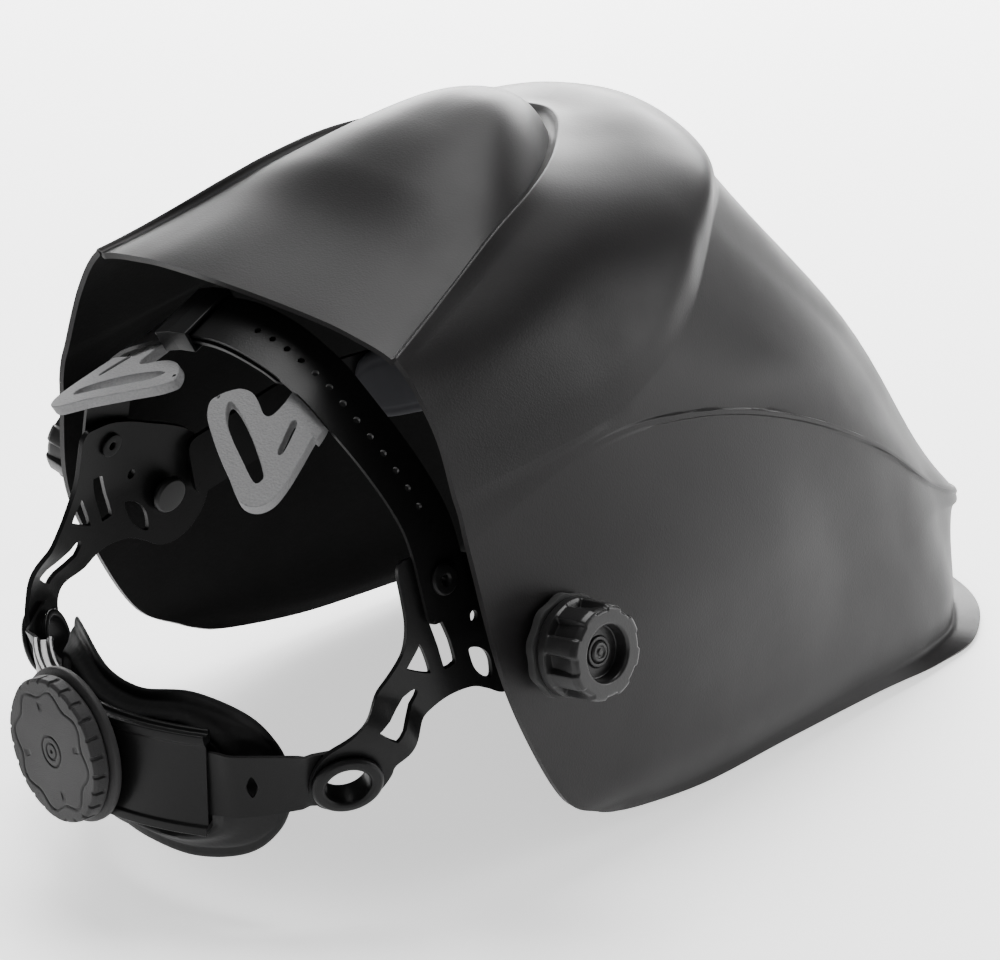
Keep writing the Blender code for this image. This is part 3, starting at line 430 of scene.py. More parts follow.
looks = {
    # colour property, roughness, grain per metre, grain depth, fleck, coat, metal, shine
    "shell_skin": ("shell", 0.40, 1500, 0.05, 0.10, 0.0, 0.0, 0.09),
    # the lining look, used for the inside of the shell and the window frame, is black plastic
    # painted darker than the outer skin as painted shade for the dim inside
    "shell_lining": ("lining", 0.80, 900, 0.12, 0.10, 0.0, 0.0, 0.12),
    "frame_plastic": ("lining", 0.80, 1200, 0.08, 0.10, 0.0, 0.0, 0.06),
    "gear_plastic": ("gear", 0.34, 1600, 0.05, 0.12, 0.0, 0.0, 0.10),
    "knob_plastic": ("knob", 0.34, 1400, 0.05, 0.12, 0.0, 0.0, 0.20),
    "ratchet_plastic": ("ratchet", 0.55, 2600, 0.20, 0.25, 0.0, 0.0, 0.12),
    "rubber": ("rubber", 0.66, 1100, 0.10, 0.10, 0.0, 0.0, 0.08),
    "bolt_steel": ("steel", 0.42, 3000, 0.04, 0.20, 0.0, 0.4, 0.3),
    "vinyl": ("cushion", 0.46, 520, 0.12, 0.12, 0.0, 0.0, 0.14),
    "foam": ("cushion", 0.90, 1400, 0.30, 0.20, 0.0, 0.0, 0.2),
    "pad_foam": ("pad", 0.88, 1300, 0.35, 0.22, 0.0, 0.0, 0.25),
    "lens_glass": ("lens", 0.10, 200, 0.0, 0.05, 0.2, 0.0, 0.25),
}


def material(look):
    """Material of a look, made once: a fine cell grain and a slow cloud, both from the
    object's own coordinates, vary the colour and roughness and raise the surface."""
    found = bpy.data.materials.get(look)
    if found:
        return found
    which, rough, grain, depth, fleck, coat, metal, shiny = looks[look]
    colour = np.array(getattr(bpy.context.scene.helmet_colours, which))
    mat = bpy.data.materials.new(look)
    mat.use_nodes = True
    nodes, link = mat.node_tree.nodes, mat.node_tree.links.new

    def node(kind, values, **settings):
        made = nodes.new("ShaderNode" + kind)
        for key, value in settings.items():
            setattr(made, key, value)
        for socket, value in values.items():
            made.inputs[socket].default_value = value
        return made

    bsdf = nodes["Principled BSDF"]
    for socket, value in (("Metallic", metal), ("Coat Weight", coat), ("Coat Roughness", 0.25),
                          ("Specular IOR Level", shiny)):
        bsdf.inputs[socket].default_value = value
    where = node("TexCoord", {})
    fine = node("TexNoise", {"Scale": grain, "Detail": 3.0})
    cell = node("TexVoronoi", {"Scale": grain * 0.8})
    cloud = node("TexNoise", {"Scale": 26, "Detail": 5.0})
    for pattern in (fine, cell, cloud):
        link(where.outputs["Object"], pattern.inputs["Vector"])
    tint = node("Mix", {}, data_type="RGBA")
    tint.inputs[6].default_value = (*(colour * (1 - fleck)), 1)
    tint.inputs[7].default_value = (*np.minimum(colour * (1 + fleck) + 0.001, 1), 1)
    link(fine.outputs["Fac"], tint.inputs[0])
    link(tint.outputs[2], bsdf.inputs["Base Color"])
    shine = node("MapRange", {"From Min": 0.3, "From Max": 0.7,
                              "To Min": max(rough - 0.05, 0.02), "To Max": min(rough + 0.05, 1)})
    link(cloud.outputs["Fac"], shine.inputs["Value"])
    link(shine.outputs["Result"], bsdf.inputs["Roughness"])
    if depth:
        both = node("Math", {}, operation="ADD")
        link(fine.outputs["Fac"], both.inputs[0])
        link(cell.outputs["Distance"], both.inputs[1])
        raised = node("Bump", {"Strength": depth, "Distance": 0.0006})
        link(both.outputs[0], raised.inputs["Height"])
        link(raised.outputs["Normal"], bsdf.inputs["Normal"])
    return mat


# ---------------------------------------------------------------- shell and window

def rounded_bands(parts):
    """One stack of rows from the bands, with a parabola over its reach at each crease,
    or, where the reach is none, close rows either side that can carry the bead."""
    rows = [parts[0][:1]]
    t = np.linspace(0, 1, 5)[:, None, None]
    for part, after, reach in zip(parts, parts[1:], crease_reach):
        corner = part[-1]
        steps = (part[-2] - corner, after[1] - corner)
        reaches = [reach] if reach else bead_rows
        ends = []
        for step in steps:
            length = np.maximum(np.linalg.norm(step, axis=1, keepdims=True), 1e-9)
            ends.append([corner + step * np.minimum(d / length, 0.9 * d / 3.2) for d in reaches])
        rows.append(part[1:-1])
        if reach:
            rows.append((1 - t) ** 2 * ends[0][0] + 2 * t * (1 - t) * corner + t * t * ends[1][0])
        else:
            rows.append(np.array(ends[0] + [corner] + ends[1][::-1]))
    rows.append(parts[-1][1:])
    return np.concatenate(rows)


def rounded(gap, reach):
    """How far a corner is drawn in at a distance from it, so that it turns over the reach."""
    return np.sqrt(gap ** 2 + reach ** 2) - gap


def drawn_in(points, crease, turn_in):
    """How far points near the crease move along turn_in, so that it turns softly: a
    share of the rounding over 8 mm, which fades out between 20 and 34 mm."""
    gap = np.linalg.norm(points - crease, axis=2)
    return (0.42 * rounded(gap, 8) * (1 - ease(gap, 20, 34)))[..., None] * turn_in


def shell_side():
    """Left half of the shell's outside in rows and stations: every section is a smooth
    curve along the shell, and the bands between creases are smooth across the sections.
    The crease is drawn in towards its rear end and the lip at its rear corner. A narrow
    bead runs along the jaw line and a low lip along the crease, both a smooth step of
    the distance from their line."""
    line = {name: curve(p, span_steps, np.array(p[-2:-1]) * mirror)
            for name, p in sections.items()}
    half = rounded_bands([curve([line[n] for n in names], steps) for names, steps in bands])
    station = np.linspace(0, 7, half.shape[1])
    out = skin_normal(half)
    gap = np.linalg.norm(half - line["jaw"], axis=2)
    bead = (1 - ease(gap, 1.2, 1.9)) * ease(station, 0.8, 2.0)
    half = half + out * (bead_height * bead)[..., None]
    gap = np.linalg.norm(half - line["crease"], axis=2)
    half = half + out * (crease_height * (1 - ease(gap, 0.4, 1.6)))[..., None]
    gap = np.linalg.norm(half - half[:1, :1], axis=2)
    lift = 0.2 * rounded(gap, 10) * (1 - ease(gap, 30, 60))
    half = half + lift[..., None] * [0, 0.35, 0.94]
    turn_in = unit(np.array([-0.45, 0, -0.9])) * (1 - ease(station, 0, 1.3))[:, None]
    return line, half + drawn_in(half, line["crease"], turn_in), turn_in


def skin_normal(grid):
    """Outward directions over a grid of the shell, away from a point inside it."""
    out = unit(np.cross(np.gradient(grid, axis=0), np.gradient(grid, axis=1)) + 1e-12)
    return out * np.sign((out * (grid - [0, 0, 20])).sum(2, keepdims=True))


def window_rows(line, half):
    """Rows that the lower and the upper edge of the window follow."""
    return [int(np.abs(half - line[n]).sum((1, 2)).argmin())
            for n in ("window_low", "window_high")]


def both_sides(half):
    """Both sides in one grid, from the right rear round the front to the left rear."""
    return np.concatenate([(half * mirror)[:, :-1], half[:, ::-1]], axis=1)


def shell_surface():
    """Outside of the shell with the window's cells left out. The roof panel swells by
    one less a power of the share across."""
    line, half, turn_in = shell_side()
    grid = both_sides(half)
    rows, cols = grid.shape[:2]
    low, high = window_rows(line, half)
    faces = cells(rows, cols)
    i, j = np.divmod(np.arange(len(faces)), cols - 1)
    middle = (cols - 1) // 2
    hole = (i >= low) & (i < high) & (j >= middle - span_steps) & (j < middle + span_steps)
    rim = line["roof_rim"]
    swell = curve([(s, 0) for s in roof_swell], span_steps)[:, :1]
    a = crowded(41)[None, :]
    hand = np.where(a[..., None] < 0, mirror, [1, 1, 1])
    roof = np.stack([rim[:, :1] * a, rim[:, 1:2] + 0 * a,
                     rim[:, 2:] + swell * (1 - abs(a) ** 2.5)], axis=2)
    roof = roof + drawn_in(roof, line["crease"][:, None] * hand, turn_in[:, None]) * hand
    faces = np.vstack([faces[~hole], rows * cols + cells(*roof.shape[:2])])
    points = at(np.vstack([grid.reshape(-1, 3), roof.reshape(-1, 3)]))
    return np.clip(points, box_low, box_high), faces[:, [0, 3, 2, 1]].tolist()


def outward(obj, centre):
    """Turn an open surface so that its faces look away from the centre."""
    count = len(obj.data.polygons)
    normal, middle = np.empty(count * 3), np.empty(count * 3)
    obj.data.polygons.foreach_get("normal", normal)
    obj.data.polygons.foreach_get("center", middle)
    if (normal.reshape(-1, 3) * (middle.reshape(-1, 3) - centre)).sum() < 0:
        obj.data.flip_normals()


def wall_across():
    """Outside half width of the shell where the leaning bolt comes through: the mean of
    the four nearest points on the left side."""
    rel = shell_surface()[0] - datum
    away = np.hypot(rel[:, 1] - 0.094, rel[:, 2] - 0.0015) + (rel[:, 0] < 0)
    return rel[away.argsort()[:4], 0].mean() / mm


def build_shell(context):
    """Shell: the surface thickened inward, bored for the bolts, its rims rounded."""
    sizes = context.scene.helmet_sizes
    points, faces = shell_surface()
    shell = body_from("helmet_shell", points, faces, closed=False)
    outward(shell, at((0, 0, 20)))
    # the inner wall gets the lining: the same plastic in a darker copy, which paints shade inside
    # the shell
    shell.data.materials.append(material("shell_skin"))
    shell.data.materials.append(material("shell_lining"))
    thick = shell.modifiers.new("wall", "SOLIDIFY")
    thick.thickness = sizes.shell_wall
    thick.offset = -1
    thick.material_offset = 1
    cutters = []
    r = sizes.bolt_diameter / mm / 2 + slack / mm
    drill = np.array([(0, 15), (r, 15), (r, 40), (0, 40)])
    for hand, side in sides:
        cutters.append(turned("bore_" + side, drill, *knob_axis(hand), 48))
        bore = shell.modifiers.new("bore", "BOOLEAN")
        bore.operation = "DIFFERENCE"
        bore.solver = "EXACT"
        bore.object = cutters[-1]
    context.view_layer.update()
    mesh = bpy.data.meshes.new_from_object(shell.evaluated_get(context.evaluated_depsgraph_get()))
    shell.modifiers.clear()
    shell.data = mesh
    mesh.set_sharp_from_angle(angle=radians(38))
    for cutter in cutters:
        bpy.data.objects.remove(cutter, do_unlink=True)
    bevel(shell, sizes.rim_rounding, 3, 50)
    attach(shell, "helmet_shell")
    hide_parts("shell")


def square_loop(count):
    """Loop round the square from -1 to 1, with the same count of points on each side."""
    t = np.arange(count) / count * 2 - 1
    one = np.ones(count)
    return np.concatenate([t, one, -t, -one]), np.concatenate([-one, t, one, -t])


def window_loop(u, v, grow, sink):
    """Loop round the window opening, grown over the shell by a share of the flange and
    sunk below the outer skin by millimetres."""
    line, half, _ = shell_side()
    low, high = window_rows(line, half)
    grid = both_sides(half)
    grid = grid - skin_normal(grid) * sink
    row = low - 2.0 * grow + (v + 1) / 2 * (high - low + 2.8 * grow)
    col = (grid.shape[1] - 1) / 2 + u * (span_steps + 2.2 * grow)
    i, j = np.floor(row).astype(int), np.floor(col).astype(int)
    s, t = (row - i)[:, None], (col - j)[:, None]
    return at((1 - s) * ((1 - t) * grid[i, j] + t * grid[i, j + 1])
              + s * ((1 - t) * grid[i + 1, j] + t * grid[i + 1, j + 1]))


def build_window(context):
    """Window: a frame whose flange follows the inside of the shell round the opening and
    steps down to a seat, and the dark flat lens in the seat."""
    sizes = context.scene.helmet_sizes
    lens = bevel(clean_copy("window_lens", "filter_lens"), 0.0005, 3)
    settle(lens, "window_lens", "lens_glass")
    low, high = at([sections["window_low"][-1], sections["window_high"][-1]])
    up = unit(high - low)
    out = np.cross([1.0, 0, 0], up)
    rel = np.empty(len(lens.data.vertices) * 3)
    lens.data.vertices.foreach_get("co", rel)
    rel = (rel.reshape(-1, 3) - (low + high) / 2) / mm
    wide, tall = abs(rel[:, 0]).max(), abs(rel @ up).max()
    back, front = (rel @ out).min(), (rel @ out).max()
    u, v = square_loop(40)

    def seat(grow, height):
        flat = np.outer(v * (tall + grow), up) + out * height
        flat[:, 0] += u * (wide + grow)
        return (low + high) / 2 + flat * mm

    top = sizes.shell_wall / mm + slack / mm
    below = top + sizes.window_wall / mm
    loops = [window_loop(u, v, g, top) for g in (1, 0.5, 0)]
    loops += [seat(0.3, front + 1.0), seat(0.3, back - 0.5), seat(2.3, back - 0.5)]
    loops += [window_loop(u, v, g, below) for g in (0, 0.5, 1)]
    bezel = from_grids("window_bezel", [(np.array(loops), True, True)])
    settle(bevel(bezel, 0.0006, 3), "window_frame", "frame_plastic")


# ---------------------------------------------------------------- side knobs

def knob_axis(hand):
    """Start and direction of the bolt on one side."""
    return (at(pivot_spot + [plate_half * hand, 0, 0]),
            np.array([hand * cos(knob_lean), 0, sin(knob_lean)]))


def build_knobs(context):
    """Side knobs: bolt, spacer, wavy washer and fluted knob on each side. A flute is a
    scoop eight times round, open at the face, with a plain flange left at the foot. The
    washer has a short neck down to the shell."""
    sizes = context.scene.helmet_sizes
    big = sizes.knob_diameter / mm / 2
    bolt = sizes.bolt_diameter / mm / 2
    wall = (wall_across() - plate_half) / cos(knob_lean)
    washer = big * 1.07
    washer_thick = 3.5
    seat = wall + washer * 0.13
    base = seat + washer_thick + slack / mm
    top = base + sizes.knob_height / mm
    lean = sin(knob_lean)

    def scallop(turn, r, h):
        deep = ease(r, bolt + 1, washer * 0.9)
        return r * (1 - 0.045 * deep * (0.5 + 0.5 * np.cos(10 * turn))), h

    def flute(turn, r, h):
        scoop = ease(np.cos(8 * turn), -0.25, 0.35)
        tall = ease(h, base + 4.0, base + 5.2) * (1 - 0.6 * ease(h, base + 6, top - 0.5))
        outer = ease(r, big * 0.72, big * 0.9)
        return r * (1 - 0.15 * scoop * tall * outer), h

    for hand, side in sides:
        origin, axis = knob_axis(hand)
        head = -2.0 - bolt * 1.9 * lean - 1.2
        end = top - 3.5
        profile = soft_corners([(0, head - 2.5), (bolt * 1.7, head - 2.5),
                                (bolt * 1.9, head - 1.4), (bolt * 1.9, head), (bolt, head),
                                (bolt, end - 0.9), (bolt * 0.82, end - 0.1),
                                (bolt * 0.6, end - 0.1), (bolt * 0.52, end - 0.7),
                                (bolt * 0.36, end - 0.7), (bolt * 0.28, end), (0, end)], 0.3)
        settle(turned("bolt_" + side, profile, origin, axis, 64),
               "pivot_bolt_" + side, "bolt_steel")
        stop = wall - 2.5 / cos(knob_lean) - bolt * 2.2 * 0.22 - slack / mm
        start = bolt * 2.2 * lean + 1.2
        profile = soft_corners([(bolt + 0.3, start), (bolt * 2.2, start), (bolt * 2.2, stop),
                                (bolt + 0.3, stop)], 0.5, True)
        settle(turned("spacer_" + side, profile, origin, axis, 64, ring=True),
               "pivot_spacer_" + side)
        neck = bolt * 2.1
        profile = soft_corners([(bolt + 0.3, wall + 0.6), (neck, wall + 0.6), (neck, seat),
                                (washer, seat), (washer, seat + washer_thick),
                                (bolt + 0.3, seat + washer_thick)], 0.5, True)
        profile = dense(profile, 1.2, True)
        settle(turned("washer_" + side, profile, origin, axis, 200, scallop, True),
               "knob_washer_" + side, "rubber")
        profile = [(bolt + 0.3, base), (big * 0.95, base), (big, base + 1.2), (big, base + 4.2),
                   (big * 0.97, base + 5.2), (big * 0.97, top - 2.4), (big * 0.93, top - 0.5),
                   (big * 0.88, top), (big * 0.60, top), (big * 0.56, top - 0.9),
                   (big * 0.54, top - 5.5), (bolt + 1.8, top - 5.5), (bolt + 1.6, top - 4.3),
                   (bolt + 0.3, top - 4.3)]
        profile = dense(soft_corners(profile, 0.4, True), 0.7, True)
        settle(turned("knob_" + side, profile, origin, axis, 320, flute, True),
               "pivot_knob_" + side, "knob_plastic")


# ---------------------------------------------------------------- headgear

def plate_across(flat):
    """Half width of the side plate over the side view: bowed in by a parabola towards the
    rear, sloped in towards the top, and turned into a flat disc round the ring."""
    y, z = flat[:, 0], flat[:, 1]
    bend = plate_half - 0.0032 * np.clip(y - 115, 0, None) ** 2
    top = 0.24 * (np.sqrt(np.clip(z - 4, 0, None) ** 2 + 16) - 4)
    ring = 83 - 0.62 * (y - ring_spot[0]) + 0.40 * (z - ring_spot[1])
    near = 1 - ease(np.hypot(y - ring_spot[0], z - ring_spot[1]), 16, 36)
    return (bend - top) * (1 - near) + ring * near


def plate_normal(flat, hand):
    """Outward direction of the side plate."""
    step = 0.4
    dy = (plate_across(flat + [step, 0]) - plate_across(flat - [step, 0])) / (2 * step)
    dz = (plate_across(flat + [0, step]) - plate_across(flat - [0, step])) / (2 * step)
    return unit(np.column_stack([np.ones(len(flat)), -dy, -dz])) * [hand, 1, 1]


def plate_skin(flat, hand):
    """Outer skin of the side plate in metres."""
    return at(np.column_stack([plate_across(flat) * hand, flat]))


def plate_spot(spot, hand):
    """Point and outward direction of the side plate at one place."""
    flat = np.array([spot], float)
    return plate_skin(flat, hand)[0], plate_normal(flat, hand)[0]


def circle(spot, radius, count=40):
    """Round loop in the flat."""
    turn = np.linspace(0, 2 * pi, count, endpoint=False)
    return np.column_stack([spot[0] + radius * np.cos(turn), spot[1] + radius * np.sin(turn)])


def build_plates(context):
    """Side plates with their slots, the rivets of the crown strap and the strap rings."""
    sizes = context.scene.helmet_sizes
    thick = sizes.band_thickness
    for hand, side in sides:
        def place(flat, skin, hand=hand):
            return plate_skin(flat, hand) - plate_normal(flat, hand) * thick * skin
        holes = [closed_curve(s, 4) for s in plate_slots]
        holes += [circle(pivot_spot[1:], sizes.bolt_diameter / mm / 2 + 0.8),
                  circle(ring_spot, 9.9), circle(rivet_spot, 3.2, 28)]
        plate = sheet("side_plate_skin_" + side, closed_curve(plate_outline, 5), holes, 2.6, place)
        settle(bevel(plate, 0.00045, 2, 50), "side_plate_" + side)
        spot, out = plate_spot(rivet_spot, hand)
        low, high = -thick / mm - 0.3, sizes.strap_thickness / mm + 2.1
        profile = soft_corners([(1.6, low - 1.2), (4.9, low - 1.2), (4.9, low), (2.5, low),
                                (2.5, high), (5.8, high), (5.8, high + 1.0), (5.0, high + 1.6),
                                (2.6, high + 1.6), (1.6, high + 0.8)], 0.35, True)
        settle(turned("rivet_" + side, profile, spot, out, 64, ring=True),
               "crown_rivet_" + side)
        spot, out = plate_spot(ring_spot, hand)
        low, high = -(thick + sizes.strap_thickness) / mm - 2.2, 0.9
        profile = soft_corners([(8.4, low - 1.2), (11.0, low - 1.2), (11.0, low), (9.3, low),
                                (9.3, high), (13.2, high), (13.2, high + 1.4),
                                (12.0, high + 2.5), (9.6, high + 2.8), (8.4, high + 2.0)],
                               0.5, True)
        settle(turned("ring_" + side, profile, spot, out, 80, ring=True),
               "strap_ring_" + side)


def strap_path(line, wides, steps):
    """Distance along, place, width direction and outward direction along a strap."""
    pos = curve(line, steps)
    run = unit(np.gradient(pos, axis=0))
    share = np.linspace(0, len(line) - 1, len(pos))
    wide = between(share, range(len(line)), wides)
    wide = unit(wide - run * (wide * run).sum(1, keepdims=True))
    out = np.cross(run, wide)
    out *= np.sign((out * (pos - at((0, 80, 10)))).sum(1, keepdims=True))
    return run_of(pos) / mm, pos, wide, out


def along_path(path, s):
    """Place, width direction and outward direction at distances along a strap."""
    return [between(s, path[0], rows) for rows in path[1:]]


def on_path(path, thickness):
    """Place function of a strap: flat is distance along and distance across."""
    def place(flat, skin):
        pos, wide, out = along_path(path, flat[:, 0])
        return pos + wide * flat[:, 1:] * mm + out * (0.5 - skin) * thickness
    return place


def spot_on(path, spot):
    """Distance along and across a strap nearest to a point."""
    k = np.linalg.norm(path[1] - spot, axis=1).argmin()
    return path[0][k], float((spot - path[1][k]) @ path[2][k]) / mm


def strap_outline(length, half, corner=4.0):
    """Flat strap outline with rounded ends."""
    loop = [(0, -half), (length, -half), (length, half), (0, half)]
    return dense(soft_corners(loop, corner, True, 7), 2.5, True)


def upright(lean):
    """Width direction of a standing band; the lean brings its lower side inward."""
    return np.column_stack([0 * lean, np.sin(np.radians(lean)), np.cos(np.radians(lean))])


def crosswise(lean):
    """Width direction of a crown strap; the lean lifts its front edge."""
    return np.column_stack([0 * lean, -np.cos(np.radians(lean)), np.sin(np.radians(lean))])


def rear_at(a):
    """Middle line of the housing in metres, from -1 at the right end to 1 at the left,
    and its outward direction: a parabola bowed towards the head."""
    a = np.asarray(a, float)[..., None]
    line = at(rear_spot) + (rear_side * rear_reach * a - rear_out * rear_bow * a * a) * mm
    return line, unit(rear_out + rear_side * (2 * rear_bow * a / rear_reach))


def build_rear_straps(context):
    """Rear straps from the rings into the housing, with a ring hole and an oval slot."""
    sizes = context.scene.helmet_sizes
    for hand, side in sides:
        flats = np.array(strap_start, float)
        skin, normal = plate_skin(flats, hand), plate_normal(flats, hand)
        above = unit(plate_skin(flats + [0, 2], hand) - skin)
        depth = sizes.band_thickness + sizes.strap_thickness / 2 + 2.5 * slack
        end, before = rear_at(hand * 1.0)[0], rear_at(hand * 0.96)[0]
        run = unit(end - before)
        tail = np.vstack([end + run * 0.012, end + run * 0.004,
                          rear_at(hand * np.array([0.85, 0.6, 0.36]))[0]])
        places = np.vstack([skin - normal * depth, tail])
        wides = np.vstack([above, upright(np.array([9, 5, 3, 3, 3.0]))])
        path = strap_path(places, wides, 10)
        half = sizes.strap_width / mm / 2
        s, w = spot_on(path, plate_spot(ring_spot, hand)[0])
        oval = closed_curve([(s + 31.5, 0), (s + 33.5, 4.6), (s + 35.5, 0), (s + 33.5, -4.6)], 8)
        strap = sheet("rear_strap_skin_" + side, strap_outline(path[0][-1], half, 5.0),
                      [circle((s, w), 9.7), oval], 2.6, on_path(path, sizes.strap_thickness))
        settle(bevel(strap, 0.0003, 2, 50), "rear_strap_" + side)


def build_ratchet(context):
    """Ratchet: a curved tube for the straps, the skirt and the large turning knob."""
    sizes = context.scene.helmet_sizes
    tall, deep = 20.0, housing_deep
    loop = [(-tall, -deep), (-tall, deep), (-tall + 3.4, deep), (-tall + 4.2, deep - 0.8),
            (tall - 4.2, deep - 0.8), (tall - 3.4, deep), (tall, deep), (tall, deep - 2.0),
            (tall - 1.3, deep - 2.5), (tall - 1.3, -deep + 2.2), (tall, -deep + 1.7),
            (tall, -deep)]
    loop = soft_corners(loop, 0.5, True)
    tube = np.clip(loop, [-tall + 4, -2.15], [tall - 4, 2.15])
    a = np.linspace(-1, 1, 61)[:, None]

    def swept(section):
        z = section[None, :, :1] + 0 * a[:, None]
        share = a * (1 + 0.035 * (1 - (section[None, :, 0] / tall) ** 2))
        line, normal = rear_at(share)
        return line + normal * section[None, :, 1:] * mm + np.array([0, 0, mm]) * z

    outer, inner = swept(loop), swept(tube)
    ends = [np.stack([outer[k], inner[k]]) for k in (0, -1)]
    housing = from_grids("strap_housing", [(outer, False, True), (inner, False, True)]
                         + [(e, False, True) for e in ends])
    settle(housing, "ratchet_housing")
    _, out = rear_at(0.0)
    hub = at(rear_spot) + np.array([0, 0, 0.003])
    big = sizes.ratchet_diameter / mm / 2
    seat = deep + 0.3
    profile = soft_corners([(0, seat), (big * 1.07, seat), (big * 1.07, seat + 2.4),
                            (big * 0.96, seat + 3.6), (0, seat + 3.6)], 0.7)
    settle(turned("skirt_disc", profile, hub, out, 160),
           "ratchet_skirt", "ratchet_plastic")
    base = seat + 3.9
    face = base + sizes.ratchet_thickness / mm
    profile = [(0, base), (big * 0.97, base), (big, base + 0.8), (big, face - 1.1),
               (big * 0.965, face), (big * 0.23, face), (big * 0.22, face - 0.5),
               (big * 0.205, face - 0.5), (big * 0.195, face), (big * 0.13, face),
               (big * 0.12, face - 0.5), (big * 0.105, face - 0.5), (big * 0.095, face),
               (big * 0.03, face), (big * 0.02, face - 0.6), (0, face - 0.6)]
    profile = dense(soft_corners(profile, 0.3), 0.45)

    def detail(turn, r, h):
        notch = ease(np.cos(24 * turn), 0.78, 0.92) * ease(r, big * 0.85, big * 0.95) \
            * ease(h, base + 1.6, base + 2.4)
        top = ease(h, face - 0.6, face - 0.1)
        lobe = np.cos(8 * turn)
        wave = np.exp(-((r - big * 0.80 - 1.3 * lobe) / 0.4) ** 2)
        side = np.where(np.sin(turn * 4) > 0.97, 1, 0)
        dash = np.exp(-((r - big * 0.62) / 1.6) ** 4) * side
        return r * (1 - 0.03 * notch + 0.006 * lobe), h - top * (0.55 * wave + 0.35 * dash)

    settle(turned("ratchet_disc", profile, hub, out, 360, detail),
           "ratchet_knob", "ratchet_plastic")


def build_cushion(context):
    """Rear neck cushion: a thin flange round two soft lobes, with a rounded ridge that
    follows the outline and a raised seat on its back that meets the housing. The lobes
    and the flange fall off as the root of one less a power of the shares across and up,
    and the back bows by a parabola."""
    full = context.scene.helmet_sizes.cushion_thickness / mm
    rim, half_wide, bow = 2.6, 67, 26
    shares = [0, 0.18, 0.5, 0.78, 0.93, 1.0]
    a, b = crowded(181)[:, None], crowded(81)[None, :]
    edges = []
    for heights in ([-19.5, -18.5, -13.5, -18, -29, -44], [-79, -80, -80.5, -75, -64, -49]):
        line = curve(list(zip(shares, heights)), 8)
        edges.append(np.interp(abs(a), line[:, 0], line[:, 1]))
    z = (edges[0] + edges[1]) / 2 + b * (edges[0] - edges[1]) / 2
    aa, bb = np.clip(abs(a) / 0.93, 0, 1), np.clip(abs(b) / 0.86, 0, 1)
    core = (1 - bb ** 3) ** 0.5 * (1 - aa ** 8) ** 0.5
    flange = (1 - abs(b) ** 20) ** 0.5 * (1 - a ** 30) ** 0.5
    around = (aa ** 5 + bb ** 5) ** 0.2
    ridge = 2.6 * np.exp(-((around - 0.84) / 0.06) ** 2)
    ridge = ridge - 1.2 * np.exp(-((around - 0.66) / 0.08) ** 2)
    seat_height = 8
    seat = np.clip(1 - (a / 0.55) ** 2, 0, 1) * np.clip(1 - (b / 0.62) ** 4, 0, 1)
    seat = seat_height * seat ** 0.5
    nose = housing_deep + slack / mm + seat_height + full / 2
    skins = []
    for skin in (1, -1):
        depth = skin * (rim * flange + (full - rim) * core) / 2
        if skin > 0:
            depth = depth + seat + ridge * flange * (1 - np.clip(seat, 0, 1))
        back = (nose + bow * a * a - depth)[..., None]
        flat = at(rear_spot) + (rear_side * half_wide * a[..., None] - rear_out * back) * mm
        flat[..., 2] = datum[2] + z * mm
        skins.append((flat, False, False))
    cushion = settle(from_grids("neck_cushion", skins, 60), "rear_cushion", "vinyl")


def build_crown(context):
    """Crown straps lapped under a keeper, and the pair of foam pads beside them. A pad is
    a sloping plane, bowed across, that stays below its strap."""
    sizes = context.scene.helmet_sizes
    thick = sizes.strap_thickness
    layer = thick + 3 * slack
    line = np.array(crown_line, float)
    for hand, side, tail, lift in ((-1, "right", crown_over, 0.5), (1, "left", crown_under, -0.5)):
        full = np.vstack([line * [hand, 1, 1, 1], tail])
        path = strap_path(at(full[:, :3]), crosswise(full[:, 3]), 10)
        flat = on_path(path, thick)

        def place(points, skin, hand=hand, lift=lift, flat=flat):
            p = flat(points, skin)
            p[:, 2] += lift * layer * ease(0.060 - p[:, 0] * hand, 0, 0.018)
            return p

        s, w = spot_on(path, plate_spot(rivet_spot, hand)[0])
        holes = [circle((s, w), 2.9, 28)]
        holes += [circle((d, 0), 1.3, 16) for d in np.arange(s + 28, path[0][-1] - 34, 7.5)]
        strap = sheet("crown_band_" + side, strap_outline(path[0][-1], 11.0), holes, 2.4, place)
        settle(bevel(strap, 0.0003, 2, 50), "crown_strap_" + side)
        below = 1.2 if hand < 0 else 3.4

        def pad_place(points, skin, hand=hand, below=below):
            x, y = points[:, 0], points[:, 1]
            z = 88.8 - 0.2265 * (x - 11) - 0.566 * (y - 155) - 0.0035 * (x - 34) ** 2
            rest = np.interp(x, [20, 38, 51, 62.5], [100.5, 94, 86.5, 77.5]) + (134 - y) * 0.34
            z = z + np.minimum(rest - below - z, 0) * ease(150 - y, 0, 1)
            z = z + (0.24 * np.clip(y - 150, 0, None) if hand > 0 else 0)
            p = np.column_stack([x, y, z])
            p = p - np.array([0.20, 0.48, 0.855]) * sizes.pad_thickness / mm * skin
            return at(p * [hand, 1, 1])

        pad = sheet("crown_cushion_" + side, closed_curve(crown_pad, 4),
                    [closed_curve(q, 4) for q in crown_pad_slots], 2.4, pad_place)
        settle(bevel(pad, 0.0011, 4, 50), "crown_pad_" + side, "pad_foam")
    settle(bevel(clean_copy("crown_keeper", "strap_keeper"), 0.0005, 3),
           "crown_keeper")


